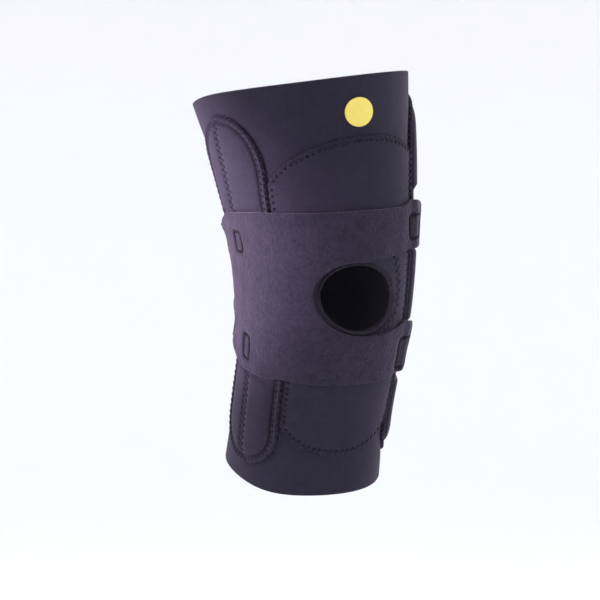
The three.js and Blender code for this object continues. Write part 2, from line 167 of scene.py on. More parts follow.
def outward(angle, height):
    """The outward normal of the sleeve's outer face, from steps of half a degree round
    it and one millimetre along it."""
    around = bare_point(angle + 0.5, height) - bare_point(angle - 0.5, height)
    along = bare_point(angle, height + 0.001) - bare_point(angle, height - 0.001)
    return unit(np.cross(around, along))


def worn_in(angle, height):
    """How far worn cloth strays from the smooth leg: soft folds behind the knee, each a
    bell curve with a low lip on both sides, and slow waves of a fifth of a millimetre."""
    from_back = away_from(angle, 180)
    stray = WAVE_DEPTH * np.sin(0.11 * away_from(angle, 0) + 61 * height) * np.sin(47 * height)
    for fold in KNEE_FOLDS:
        level = fold["level"] + fold["slant"] * np.sin(np.radians(FOLD_WANDER * from_back))
        reach = (height - level) / FOLD_REACH
        shape = np.exp(-(reach**2)) - FOLD_LIP * np.exp(-((np.abs(reach) - FOLD_LIP_PLACE) ** 2))
        stray = stray - fold["depth"] * shape * np.exp(-((from_back / FOLD_SPAN) ** 2))
    return stray


def skin(angle, height, lift):
    """A point that stands off the sleeve's outer face by a lift, along its normal."""
    stand_off = lift + worn_in(angle, height)
    return bare_point(angle, height) + outward(angle, height) * stand_off[..., None]


def girth(angle, height):
    """Metres for each degree round the leg."""
    step = bare_point(angle + 0.5, height) - bare_point(angle - 0.5, height)
    return np.linalg.norm(step, axis=-1)


FRONT_GIRTH = float(girth(0.0, 0.0))
HOLE_ANGLE = HOLE_OFFSET / FRONT_GIRTH
# Steps from a cut edge, close enough to round it.
EDGE_STEPS = np.array([0.0, 0.00006, 0.00022, 0.00048, 0.00085])
NO_STEPS = np.array([0.0])
SLANT_TO = 0.6
LEVEL_FROM = 1.5


def hole_edge(angle, grow):
    """Half the height of the kneecap's oval, grown by a margin, at an angle."""
    across = (angle - HOLE_ANGLE) * FRONT_GIRTH / (HOLE_WIDTH / 2 + grow)
    return (HOLE_HEIGHT / 2 + grow) * np.sqrt(np.clip(1 - across**2, 0, 1))


def hole_line(angle):
    """The slanted middle line of the kneecap's oval, level again away from it."""
    across = away_from(angle, HOLE_ANGLE) * FRONT_GIRTH
    near = ease(LEVEL_FROM * HOLE_WIDTH, SLANT_TO * HOLE_WIDTH, np.abs(across))
    return np.tan(np.radians(HOLE_TILT)) * across * near


def band(low, high, shares, low_steps, high_steps):
    """Heights of one band of a sheet, a row for each column: the given steps from its
    two edges, and shares of the way between them."""
    share = shares[:, None]
    between = low + low_steps[-1] + share * (high - low - low_steps[-1] - high_steps[-1])
    return np.concatenate([low + low_steps[:-1, None], between, high - high_steps[-2::-1, None]]).T


FINE_STEPS = 4000


def crowd(start, end, count, places, reach, share):
    """Rising places from start to end, closer together near some of them: even steps of
    the running sum of one and a bell curve round each of those."""
    fine = np.linspace(start, end, FINE_STEPS)
    density = 1 + share * sum(np.exp(-(((fine - place) / reach) ** 2)) for place in places)
    running = np.concatenate([[0], np.cumsum((density[1:] + density[:-1]) / 2)])
    return np.interp(np.linspace(0, running[-1], count), running, fine)


def grid_faces(ids, closed):
    """Four-cornered faces between neighbouring columns and rows of vertex numbers."""
    nxt = np.roll(ids, -1, axis=0) if closed else ids[1:]
    here = ids if closed else ids[:-1]
    return np.stack([here[:, :-1], nxt[:, :-1], nxt[:, 1:], here[:, 1:]], axis=-1).reshape(-1, 4)


def slit_sheet(angles, lower, upper, opened, closed):
    """Angles, heights and faces of a sheet of two bands of rows, which share their middle
    row except in the columns that are opened; closed joins the last column to the first."""
    low_ids = np.arange(lower.size).reshape(lower.shape)
    high_ids = lower.size + np.arange(upper.size).reshape(upper.shape)
    high_ids[~opened, 0] = low_ids[~opened, -1]
    faces = np.concatenate([grid_faces(low_ids, closed), grid_faces(high_ids, closed)])
    used, faces = np.unique(faces, return_inverse=True)
    every_angle = np.concatenate([
        np.repeat(angles, lower.shape[1]),
        np.repeat(angles, upper.shape[1]),
    ])
    every_height = np.concatenate([lower.ravel(), upper.ravel()])
    return every_angle[used], every_height[used], faces.reshape(-1, 4)


def add_piece(name, material, points, faces, uv, marks):
    """A mesh object from corners, four-cornered faces, a place on the cloth for each
    corner of each face, and named values for each corner. It rides on the part."""
    mesh = bpy.data.meshes.new(name)
    mesh.vertices.add(len(points))
    mesh.vertices.foreach_set("co", np.ascontiguousarray(points, dtype=np.float32).ravel())
    mesh.loops.add(faces.size)
    mesh.loops.foreach_set("vertex_index", faces.astype(np.int32).ravel())
    mesh.polygons.add(len(faces))
    mesh.polygons.foreach_set("loop_start", np.arange(0, faces.size, 4, dtype=np.int32))
    mesh.update(calc_edges=True)
    mesh.polygons.foreach_set("use_smooth", np.ones(len(faces), dtype=bool))
    layer = mesh.uv_layers.new(name="cloth")
    layer.data.foreach_set("uv", np.ascontiguousarray(uv, dtype=np.float32).ravel())
    for key, values in marks.items():
        mark = mesh.attributes.new(key, "FLOAT", "POINT")
        mark.data.foreach_set("value", np.ascontiguousarray(values, dtype=np.float32))
    mesh.validate()
    mesh.materials.append(material)
    piece = bpy.data.objects.new(name, mesh)
    bpy.context.scene.collection.objects.link(piece)
    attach(piece, "root")
    return piece


def cloth_place(angle, height, faces):
    """Metres round the leg and up it for each corner of each face, unrolled past the
    place where a tube closes."""
    corner_angle = angle[faces]
    highest = corner_angle.max(axis=1, keepdims=True)
    corner_angle = np.where(corner_angle < highest - 180, corner_angle + 360, corner_angle)
    corner_height = height[faces]
    return np.stack([corner_angle * girth(0.0, corner_height), corner_height], axis=-1)


def add_cloth(name, material, angle, height, outside, inside, faces, marks):
    """A sheet with an outer and an inner face, joined by a strip along each edge that
    only one face touches. The given marks are for the outer face alone, and one more,
    core, is 1 where the strip shows the foam."""
    count = len(angle)
    points = np.concatenate([skin(angle, height, outside), skin(angle, height, inside)])
    starts = faces.ravel()
    ends = np.roll(faces, -1, axis=1).ravel()
    free = ~np.isin(starts * count + ends, ends * count + starts)
    a, b = starts[free], ends[free]
    strip = np.stack([b, a, a + count, b + count], axis=-1)
    shell = np.concatenate([faces, faces[:, ::-1] + count, strip])
    core = np.zeros(2 * count)
    core[np.concatenate([a, a + count])] = 1
    uv = cloth_place(np.concatenate([angle, angle]), np.concatenate([height, height]), shell)
    both = {key: np.concatenate([values, 0 * values]) for key, values in marks.items()}
    return add_piece(name, material, points, shell, uv, {"core": core, **both})


def rounding(distance, radius):
    """How far a rounded edge has dropped at a distance from it: a quarter circle."""
    inside = np.clip(distance / radius, 0, 1)
    return radius * (1 - np.sqrt(1 - (1 - inside) ** 2))


BLOCK = 4000


def nearest(points, places):
    """Number of the nearest place to each point, and its distance, worked out in blocks
    from the squares of the places less twice their products with the points."""
    which = np.empty(len(points), dtype=int)
    for start in range(0, len(points), BLOCK):
        block = points[start:start + BLOCK]
        apart = (places**2).sum(axis=1) - 2 * block @ places.T
        which[start:start + BLOCK] = apart.argmin(axis=1)
    return which, np.linalg.norm(points - places[which], axis=1)


def along_path(angle, height, pitch, steps):
    """Places along a path over the leg, a whole number of pitches with some steps in each,
    and a step of one metre from each place to its left, both as an angle and a height."""
    points = bare_point(angle, height)
    run = np.concatenate([[0], np.cumsum(np.linalg.norm(np.diff(points, axis=0), axis=1))])
    at = np.linspace(0, run[-1], steps * max(round(run[-1] / pitch), 1) + 1)
    place_angle = np.interp(at, run, angle)
    place_height = np.interp(at, run, height)
    scale = girth(place_angle, place_height)
    ahead = unit(np.stack([np.gradient(place_angle) * scale, np.gradient(place_height)], axis=-1))
    return place_angle, place_height, -ahead[:, 1] / scale, ahead[:, 0]


def zigzag(angle, height, left, right, pitch):
    """Needle holes along a path: each half pitch the next one lies on the other side, at
    the given distances to its left, and 1 for those on the left and 0 for the others."""
    place_angle, place_height, left_angle, left_height = along_path(angle, height, pitch, 2)
    on_left = np.arange(len(place_angle)) % 2 == 0
    side = np.where(on_left, left, right)
    return place_angle + side * left_angle, place_height + side * left_height, on_left


def pulled_in(points, hole_angle, hole_height, reach):
    """How much thread pulls cloth in near its needle holes: a bell curve, 1 at a hole."""
    apart = nearest(points, bare_point(hole_angle, hole_height))[1]
    return np.exp(-((apart / reach) ** 2))


NEEDLE_DEPTH = 0.0008
NEEDLE_RADIUS = 0.0013
FAR = 4.0
# A hole's depth: steep across the row of holes, and narrow along it.
HOLE_STEEPNESS = 1.3
HOLE_PHASE_STEEPNESS = 2.0
HOLE_PHASE_START = 0.5


def hole_marks(across, turns, left, right):
    """Marks of a zigzag's two rows of needle holes: distances from each row in hole radii,
    and the cosine of the turns along it, 1 at a left hole and -1 at a right one."""
    return {
        "hole_left": np.clip(np.abs(across - left) / NEEDLE_RADIUS, 0, FAR),
        "hole_right": np.clip(np.abs(across - right) / NEEDLE_RADIUS, 0, FAR),
        "phase": np.cos(2 * np.pi * turns),
    }


def nearer_marks(first, second):
    """The marks of whichever of two zigzags lies nearer to each place."""
    away = [np.minimum(marks["hole_left"], marks["hole_right"]) for marks in (first, second)]
    return {key: np.where(away[0] <= away[1], first[key], second[key]) for key in first}


def hole_depth(marks):
    """How deep a place lies in a needle hole, from 0 to 1, as the material works it out."""
    rows = ((marks["hole_left"], marks["phase"]), (marks["hole_right"], -marks["phase"]))
    return np.maximum.reduce([
        np.clip(HOLE_STEEPNESS * (1 - away**2), 0, 1)
        * np.clip(HOLE_PHASE_STEEPNESS * phase - HOLE_PHASE_START, 0, 1)
        for away, phase in rows
    ])


THREAD_END = 0.45


def add_thread(name, finish, angle, height, lifts, radius):
    """Stitches as closed tubes of six sides. angle, height and lifts have a row for each
    stitch; a tube has a ring round every point, narrowed at both ends, whose axes are the
    cross of the stitch's direction with the leg's normal and the cross of those two."""
    points = skin(angle, height, lifts)
    ahead = unit(np.gradient(points, axis=1))
    side = unit(np.cross(ahead, outward(angle, height)))
    rise = np.cross(side, ahead)
    stitches, rings = angle.shape
    turn = np.radians(np.arange(6) * 60.0)
    taper = np.ones(rings)
    taper[[0, -1]] = THREAD_END
    size = (radius * taper)[None, :, None, None]
    ring = np.cos(turn)[:, None] * side[:, :, None, :] + np.sin(turn)[:, None] * rise[:, :, None, :]
    corners = points[:, :, None, :] + size * ring
    ids = np.arange(stitches * rings * 6).reshape(stitches, rings, 6)
    nxt = np.roll(ids, -1, axis=2)
    walls = np.stack([ids[:, :-1], nxt[:, :-1], nxt[:, 1:], ids[:, 1:]], axis=-1).reshape(-1, 4)
    first, last = ids[:, 0], ids[:, -1]
    start_caps = [first[:, [3, 2, 1, 0]], first[:, [5, 4, 3, 0]]]
    end_caps = [last[:, [0, 1, 2, 3]], last[:, [0, 3, 4, 5]]]
    faces = np.concatenate([walls, *start_caps, *end_caps])
    run = np.linalg.norm(np.diff(points, axis=1), axis=2).cumsum(axis=1)
    run = np.concatenate([np.zeros((stitches, 1)), run], axis=1)
    along = np.broadcast_to(run[:, :, None], ids.shape).ravel()
    around = np.broadcast_to(turn / (2 * np.pi), ids.shape).ravel()
    corner_around = around[faces]
    wrapped = (corner_around.max(axis=1, keepdims=True) - corner_around) > 0.5
    uv = np.stack([along[faces], corner_around + wrapped], axis=-1)
    return add_piece(name, finish, corners.reshape(-1, 3), faces, uv, {})


# How high a stitch lies above the cloth, at shares of the way from hole to hole.
STITCH_SHARES = np.array([0.0, 0.10, 0.28, 0.5, 0.72, 0.90, 1.0])
STITCH_ARC = np.array([-0.0007, 0.00005, 0.00024, 0.0003, 0.00024, 0.00005, -0.0007])
THREAD_RADIUS = 0.00024


def between_holes(hole_angle, hole_height):
    """Angles and heights along each stitch from one needle hole to the next."""
    angle = hole_angle[:-1, None] + np.diff(hole_angle)[:, None] * STITCH_SHARES
    height = hole_height[:-1, None] + np.diff(hole_height)[:, None] * STITCH_SHARES
    return angle, height


def add_node(tree, kind, **settings):
    """A shader node with its settings made. Names that start with a capital are sockets;
    a link goes to a socket given as another node's output."""
    node = tree.nodes.new(kind)
    for key, value in settings.items():
        if not key[0].isupper():
            setattr(node, key, value)
            continue
        socket = node.inputs[key.replace("_", " ")]
        if isinstance(value, bpy.types.NodeSocket):
            tree.links.new(value, socket)
        else:
            socket.default_value = value
    return node


def sum_up(tree, operation, first, second, third=None, clamp=False):
    """The output of a Math node for two or three numbers or sockets."""
    node = tree.nodes.new("ShaderNodeMath")
    node.operation = operation
    node.use_clamp = clamp
    for socket, value in zip(node.inputs, (first, second, third)):
        if isinstance(value, bpy.types.NodeSocket):
            tree.links.new(value, socket)
        elif value is not None:
            socket.default_value = value
    return node.outputs[0]


def new_group(name, inputs, outputs):
    """A shader node group with its named number inputs and its outputs."""
    group = bpy.data.node_groups.new(name, "ShaderNodeTree")
    for title, value in inputs.items():
        socket = group.interface.new_socket(title, in_out="INPUT", socket_type="NodeSocketFloat")
        socket.default_value = value
    for title, kind in outputs.items():
        group.interface.new_socket(title, in_out="OUTPUT", socket_type=kind)
    return group, group.nodes.new("NodeGroupInput"), group.nodes.new("NodeGroupOutput")


def make_jersey_group():
    """Knit jersey: wales as rounded ribs round the leg, crossed by courses that rise and
    fall in a V over each rib, under a brushed nap and slow blotches of tone, with a painted highlight on the
    raised loops."""
    group, given, result = new_group(
        "knit_jersey",
        {"Wale": 0.0008, "Relief": 0.00008, "Nap": 0.00012, "Nap Size": 0.0011, "Blotch": 0.35},
        {"Tone": "NodeSocketFloat", "Normal": "NodeSocketVector"},
    )
    place = add_node(group, "ShaderNodeUVMap", uv_map="cloth")
    split = add_node(group, "ShaderNodeSeparateXYZ", Vector=place.outputs["UV"])
    wale = sum_up(group, "DIVIDE", split.outputs["X"], given.outputs["Wale"])
    course = sum_up(group, "DIVIDE", split.outputs["Y"], given.outputs["Wale"])
    rib = sum_up(group, "ABSOLUTE", sum_up(group, "SINE", sum_up(group, "MULTIPLY", wale, np.pi), 0), 0)
    lean = sum_up(group, "MULTIPLY_ADD", rib, 0.5, sum_up(group, "MULTIPLY", course, 1.3))
    loop = sum_up(group, "SINE", sum_up(group, "MULTIPLY", lean, 2 * np.pi), 0)
    knit = sum_up(group, "MULTIPLY", rib, sum_up(group, "MULTIPLY_ADD", loop, 0.25, 0.75))
    here = add_node(group, "ShaderNodeTexCoord")
    nap_scale = sum_up(group, "DIVIDE", 1.0, given.outputs["Nap Size"])
    nap = add_node(group, "ShaderNodeTexNoise", Vector=here.outputs["Object"], Scale=nap_scale, Detail=3.0)
    blotch = add_node(group, "ShaderNodeTexNoise", Vector=here.outputs["Object"], Scale=165.0, Detail=4.0,
                      Roughness=0.62)
    drift = add_node(group, "ShaderNodeTexNoise", Vector=here.outputs["Object"], Scale=22.0, Detail=2.0)
    height = sum_up(group, "ADD", sum_up(group, "MULTIPLY", knit, given.outputs["Relief"]),
                    sum_up(group, "MULTIPLY", nap.outputs["Fac"], given.outputs["Nap"]))
    bump = add_node(group, "ShaderNodeBump", Strength=1.0, Distance=1.0, Height=height)
    mixed = sum_up(group, "MULTIPLY_ADD", blotch.outputs["Fac"], 0.7,
                   sum_up(group, "MULTIPLY_ADD", drift.outputs["Fac"], 0.4,
                          sum_up(group, "MULTIPLY", nap.outputs["Fac"], 0.9)))
    swing = sum_up(group, "MULTIPLY", sum_up(group, "SUBTRACT", mixed, 1.0), given.outputs["Blotch"])
    tone = sum_up(group, "MULTIPLY_ADD", swing, 4.0, 0.5)
    # Painted highlight: the tone is raised on the knit's raised loops and lowered in its hollows.
    worn = sum_up(group, "MULTIPLY_ADD", knit, 0.12, sum_up(group, "SUBTRACT", tone, 0.06))
    group.links.new(worn, result.inputs["Tone"])
    group.links.new(bump.outputs["Normal"], result.inputs["Normal"])
    return group


def make_holes_group():
    """Needle holes of a zigzag, from the marks that the cloth carries: 1 inside a hole.
    The cloth's material darkens by it, as painted shade in the holes.
    """
    group, _, result = new_group("needle_holes", {}, {"Depth": "NodeSocketFloat"})
    phase = add_node(group, "ShaderNodeAttribute", attribute_name="phase").outputs["Fac"]
    rows = []
    for name, way in (("hole_left", 1), ("hole_right", -1)):
        away = add_node(group, "ShaderNodeAttribute", attribute_name=name).outputs["Fac"]
        square = sum_up(group, "MULTIPLY", away, away)
        near = sum_up(group, "MULTIPLY_ADD", square, -HOLE_STEEPNESS, HOLE_STEEPNESS, clamp=True)
        beside = sum_up(group, "MULTIPLY_ADD", phase, way * HOLE_PHASE_STEEPNESS, -HOLE_PHASE_START,
                        clamp=True)
        rows.append(sum_up(group, "MULTIPLY", near, beside))
    group.links.new(sum_up(group, "MAXIMUM", *rows), result.inputs["Depth"])
    return group


knit_jersey = make_jersey_group()
needle_holes = make_holes_group()


def jersey_finish(name, dark, light, sheen, sheen_tint, knit):
    """A cloth material: jersey between a dark and a light tone, with painted shade in the
    needle holes and where the seam mark lies, and black foam where the cut edge shows."""
    material = bpy.data.materials.new(name)
    material.use_nodes = True
    tree = material.node_tree
    shader = tree.nodes["Principled BSDF"]
    jersey = tree.nodes.new("ShaderNodeGroup")
    jersey.node_tree = knit_jersey
    for title, value in knit.items():
        jersey.inputs[title].default_value = value
    ramp = add_node(tree, "ShaderNodeMix", data_type="RGBA", clamp_factor=True)
    ramp.inputs[6].default_value = (*dark, 1)
    ramp.inputs[7].default_value = (*light, 1)
    tree.links.new(jersey.outputs["Tone"], ramp.inputs[0])
    holes = tree.nodes.new("ShaderNodeGroup")
    holes.node_tree = needle_holes
    seam = add_node(tree, "ShaderNodeAttribute", attribute_name="seam")
    # Painted shade: the cloth turns near black in needle holes and along the seam mark's joints, creases and
    # dimples.
    painted_shade_mix = add_node(tree, "ShaderNodeMix", data_type="RGBA", clamp_factor=True)
    sunk = sum_up(tree, "MAXIMUM", seam.outputs["Fac"], holes.outputs["Depth"])
    tree.links.new(sunk, painted_shade_mix.inputs[0])
    tree.links.new(ramp.outputs[2], painted_shade_mix.inputs[6])
    painted_shade_mix.inputs[7].default_value = (*(0.04 * np.array(dark)), 1)
    core = add_node(tree, "ShaderNodeAttribute", attribute_name="core")
    cut = add_node(tree, "ShaderNodeMix", data_type="RGBA", clamp_factor=True)
    tree.links.new(core.outputs["Fac"], cut.inputs[0])
    tree.links.new(painted_shade_mix.outputs[2], cut.inputs[6])
    cut.inputs[7].default_value = (0.004, 0.004, 0.006, 1)
    tree.links.new(cut.outputs[2], shader.inputs["Base Color"])
    tree.links.new(jersey.outputs["Normal"], shader.inputs["Normal"])
    rough = sum_up(tree, "MULTIPLY_ADD", jersey.outputs["Tone"], -0.08, 0.86)
    tree.links.new(rough, shader.inputs["Roughness"])
    shader.inputs["Sheen Weight"].default_value = sheen
    shader.inputs["Specular IOR Level"].default_value = 0.1
    shader.inputs["Sheen Roughness"].default_value = 0.42
    shader.inputs["Sheen Tint"].default_value = (*sheen_tint, 1)
    return material


def make_thread_finish(name, dark, light, shine):
    """Polyester thread: two plies wound round each other, bumped slantwise along each
    stitch, with painted highlight on each ply's crest and painted shade between plies."""
    material = bpy.data.materials.new(name)
    material.use_nodes = True
    tree = material.node_tree
    shader = tree.nodes["Principled BSDF"]
    place = add_node(tree, "ShaderNodeUVMap", uv_map="cloth")
    split = add_node(tree, "ShaderNodeSeparateXYZ", Vector=place.outputs["UV"])
    wound = sum_up(tree, "MULTIPLY_ADD", split.outputs["X"], 900.0, split.outputs["Y"])
    ply = sum_up(tree, "SINE", sum_up(tree, "MULTIPLY", wound, 2 * np.pi), 0)
    share = sum_up(tree, "MULTIPLY_ADD", ply, 0.5, 0.5)
    # Painted highlight and shade: the colour follows the ply bump, light on crests and dark in the grooves.
    tint = add_node(tree, "ShaderNodeMix", data_type="RGBA")
    tree.links.new(share, tint.inputs[0])
    tint.inputs[6].default_value = (*dark, 1)
    tint.inputs[7].default_value = (*light, 1)
    tree.links.new(tint.outputs[2], shader.inputs["Base Color"])
    bump = add_node(tree, "ShaderNodeBump", Strength=1.0, Distance=0.00006, Height=share)
    tree.links.new(bump.outputs["Normal"], shader.inputs["Normal"])
    shader.inputs["Roughness"].default_value = 0.45
    shader.inputs["Specular IOR Level"].default_value = shine
    return material


thread_finish = make_thread_finish("polyester_thread", (0.010, 0.0075, 0.016), (0.040, 0.030, 0.058), 0.12)
binding_finish = make_thread_finish("overlock_thread", (0.007, 0.0055, 0.011), (0.028, 0.022, 0.040), 0.10)
dark_thread_finish = make_thread_finish("dark_thread", (0.004, 0.003, 0.007), (0.014, 0.011, 0.021), 0.08)
SHEEN_TINT = (0.80, 0.66, 0.88)
sleeve_finish = jersey_finish(
    "sleeve_jersey", (0.0155, 0.0133, 0.0245), (0.030, 0.0258, 0.0450), 0.16, SHEEN_TINT,
    {"Wale": 0.0008, "Relief": 0.00007, "Nap": 0.00008, "Nap Size": 0.0010, "Blotch": 0.28},
)

RIM_ROUNDING = 0.0009
BACK_SEAM_WIDTH = 0.0055
BACK_SEAM_PITCH = 0.0040
BACK_SEAM_END = 0.002
# The seam's joint and its two rows of needle holes: how far each reaches, how deep it
# sinks and how much painted shade darkens it.
JOINT = {"reach": 0.0005, "depth": 0.0003, "dark": 0.6}
SEWN_ROWS = {"reach": 0.0007, "depth": 0.0004, "dark": 0.5}
HOLE_OVERLAP = 0.0002
HOLE_GROW = BINDING_WIDTH - HOLE_OVERLAP


def hole_columns(count):
    """Angles across the kneecap's hole, closer together at its two ends."""
    half_span = (HOLE_WIDTH / 2 + HOLE_GROW) / FRONT_GIRTH
    return HOLE_ANGLE + half_span * np.sin(np.radians(np.linspace(-90, 90, count)))


def open_hole(columns, hole_part):
    """Which columns the kneecap's hole opens, and half the hole's height at each one."""
    half_height = hole_edge(columns, HOLE_GROW)
    opened = half_height > 0
    opened[np.searchsorted(columns, [hole_part[0], hole_part[-1]])] = False
    return opened, np.where(opened, half_height, 0)


def make_sleeve():
    """A tube of columns round the leg, closer together at the kneecap's hole and at the
    back seam, in two bands of rows that part round the hole. The joint of the back seam
    and its rows of holes are bell curves of the distance from the line behind the leg."""
    hole_part = hole_columns(49)
    back_part = np.linspace(175, 185, 31)
    right_part = np.linspace(hole_part[-1], back_part[0], 76)[1:-1]
    left_part = np.linspace(back_part[-1], hole_part[0] + 360, 76)[1:-1]
    angles = np.concatenate([hole_part, right_part, back_part, left_part])
    opened, edge = open_hole(angles, hole_part)
    middle = hole_line(angles)
    ends = np.full(len(angles), SLEEVE_LENGTH / 2)
    rows = np.linspace(0, 1, 64)
    lower = band(-ends, middle - edge, rows, EDGE_STEPS, NO_STEPS)
    upper = band(middle + edge, ends, rows, NO_STEPS, EDGE_STEPS)
    angle, height, faces = slit_sheet(angles, lower, upper, opened, True)
    from_seam = np.abs(away_from(angle, 180)) * girth(180.0, height)
    joint = np.exp(-((from_seam / JOINT["reach"]) ** 2))
    sewn = np.exp(-(((from_seam - BACK_SEAM_WIDTH / 2) / SEWN_ROWS["reach"]) ** 2))
    rim = rounding(SLEEVE_LENGTH / 2 - np.abs(height), RIM_ROUNDING)
    outside = -rim - SEWN_ROWS["depth"] * sewn - JOINT["depth"] * joint
    inside = -SLEEVE_WALL + rim
    # The seam mark is painted shade in the grooved joint and the rows of needle holes.
    seam = np.maximum(SEWN_ROWS["dark"] * sewn, JOINT["dark"] * joint)
    sleeve = add_cloth("sleeve_neoprene", sleeve_finish, angle, height, outside, inside,
                       faces, {"seam": seam})
    seam_end = SLEEVE_LENGTH / 2 - BACK_SEAM_END
    seam_height = np.linspace(-seam_end, seam_end, 200)
    holes = zigzag(np.full(len(seam_height), 180.0), seam_height, BACK_SEAM_WIDTH / 2,
                   -BACK_SEAM_WIDTH / 2, BACK_SEAM_PITCH)
    stitch_angle, stitch_height = between_holes(holes[0], holes[1])
    add_thread("back_seam_stitches", thread_finish, stitch_angle, stitch_height,
               np.broadcast_to(STITCH_ARC, stitch_angle.shape), THREAD_RADIUS)
    return sleeve


sleeve = make_sleeve()
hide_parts("sleeve_body")

# Side panels
# Two long pads of the same neoprene, one down each side of the knee. Each is a flat sewn
# flange round a padded middle, parted by a zigzag seam into two channels; the wrap
# presses them flatter. A zigzag over the cut edge sews the flange to the sleeve.

FLANGE_THICKNESS = 0.002
FLANGE_WIDTH = 0.0065
FLANGE_PRESS = {"outer": 0.25, "inner": 0.75}
FLANGE_PRESS_REACH = 0.030
THINNEST = 0.0003
PANEL_HEIGHTS = {
    "outer": {"free": 0.0038, "pressed": 0.0022},
    "inner": {"free": 0.0062, "pressed": 0.0034},
}
PANEL_TOP = SLEEVE_LENGTH / 2 - 0.015
PANEL_BOTTOM = -SLEEVE_LENGTH / 2 + 0.016
PANEL_TOP_SPAN = 69
PANEL_BOTTOM_SPAN = 75
OUTER_REAR_SHARE = 0.74
TOP_CAP_LENGTH = 0.050
BOTTOM_CAP_LENGTH = 0.032

# Middle line of each panel: at is the share of its length, outer and inner are angles.
PANEL_LINES = [
    {"at": 0.00, "outer": -78.0, "inner": 86},
    {"at": 0.13, "outer": -80.5, "inner": 88},
    {"at": 0.50, "outer": -84.0, "inner": 85},
    {"at": 0.74, "outer": -86.5, "inner": 85.5},
    {"at": 0.88, "outer": -83.0, "inner": 86.5},
    {"at": 1.00, "outer": -77.5, "inner": 86},
]

WRAP_RISE = 0.066
WRAP_DROP = 0.068
WRAP_OUTER_END = -133
WRAP_INNER_END = 72
OPENING_HALF_WIDTH = 0.0375
OPENING_HALF_HEIGHT = 0.0242
MOUTH_RISE = 0.004
MOUTH_LENGTH = 0.060
PRESS_FADE = 0.005

# Edges of the wrap: at is the share of the way from its outer to its inner end, top a
# share of WRAP_RISE and bottom a share of WRAP_DROP.
WRAP_EDGES = [
    {"at": 0.00, "top": 0.76, "bottom": 0.74},
    {"at": 0.07, "top": 0.84, "bottom": 0.83},
    {"at": 0.12, "top": 0.92, "bottom": 0.92},
    {"at": 0.18, "top": 0.99, "bottom": 0.99},
    {"at": 0.24, "top": 1.00, "bottom": 1.00},
    {"at": 0.36, "top": 1.00, "bottom": 0.95},
    {"at": 0.42, "top": 0.98, "bottom": 0.91},
    {"at": 0.50, "top": 0.95, "bottom": 0.90},
    {"at": 0.63, "top": 0.91, "bottom": 0.90},
    {"at": 0.77, "top": 0.88, "bottom": 0.88},
    {"at": 0.82, "top": 0.88, "bottom": 0.87},
    {"at": 0.86, "top": 0.92, "bottom": 0.86},
    {"at": 0.94, "top": 0.89, "bottom": 0.80},
    {"at": 1.00, "top": 0.82, "bottom": 0.66},
]

# The lower edge of the mouth between the arms: at is the share of MOUTH_LENGTH, and drop is
# in metres below the opening's lowest place. The edge rises over the front of the inner
# panel and falls away towards the round end of the lower arm.
MOUTH_EDGE = [
    {"at": 0.00, "drop": 0.0000},
    {"at": 0.30, "drop": 0.0011},
    {"at": 0.50, "drop": -0.0004},
    {"at": 0.70, "drop": -0.0022},
    {"at": 0.84, "drop": -0.0044},
    {"at": 0.93, "drop": -0.0040},
    {"at": 1.08, "drop": 0.0006},
    {"at": 1.22, "drop": 0.0025},
    {"at": 1.40, "drop": 0.0028},
]


def panel_share(height):
    return (height - PANEL_BOTTOM) / (PANEL_TOP - PANEL_BOTTOM)


def panel_middle(side, height):
    return read(PANEL_LINES, side, panel_share(height))


def panel_half_span(height):
    return (PANEL_BOTTOM_SPAN + (PANEL_TOP_SPAN - PANEL_BOTTOM_SPAN) * panel_share(height)) / 2


def panel_rear_span(side, height):
    """The span of a panel's rear half, which is narrower on the outer side."""
    return panel_half_span(height) * (OUTER_REAR_SHARE if side == "outer" else 1)


def opening_edge(angle, direction):
    """Height of the edge of the wrap's opening above (1) or below (-1) the kneecap: an
    ellipse on its closed side, which eases out into a mouth between the arms."""
    across = (angle - HOLE_ANGLE) * FRONT_GIRTH
    round_end = np.sqrt(np.clip(1 - (across / OPENING_HALF_WIDTH) ** 2, 0, 1))
    closed_side = direction * OPENING_HALF_HEIGHT * round_end + np.tan(np.radians(HOLE_TILT)) * across
    along = np.maximum(across / MOUTH_LENGTH, 0)
    grown = MOUTH_RISE * ease(0, 1, along) if direction > 0 else read(MOUTH_EDGE, "drop", along)
    return np.where(across < 0, closed_side, direction * (OPENING_HALF_HEIGHT + grown))


def wrap_edges(angle):
    """Heights of the wrap's lower and upper edge at an angle."""
    place = (angle - WRAP_OUTER_END) / (WRAP_INNER_END - WRAP_OUTER_END)
    return -WRAP_DROP * read(WRAP_EDGES, "bottom", place), WRAP_RISE * read(WRAP_EDGES, "top", place)


HIDDEN_MARGIN = 0.002


def under_wrap(angle, height, margin):
    """Whether the wrap hides a place, more than a margin inside its edges."""
    low, high = wrap_edges(np.clip(angle, WRAP_OUTER_END, WRAP_INNER_END))
    covered = (angle > WRAP_OUTER_END) & (angle < WRAP_INNER_END) & (height > low + margin)
    covered &= height < high - margin
    left_tip = HOLE_ANGLE - OPENING_HALF_WIDTH / FRONT_GIRTH
    in_mouth = (angle > left_tip) & (height > opening_edge(angle, -1) - margin)
    in_mouth &= height < opening_edge(angle, 1) + margin
    return covered & ~in_mouth


def in_sight(stitch_angle, stitch_height):
    """Which stitches the wrap doesn't hide."""
    return ~under_wrap(stitch_angle.mean(axis=1), stitch_height.mean(axis=1), HIDDEN_MARGIN)


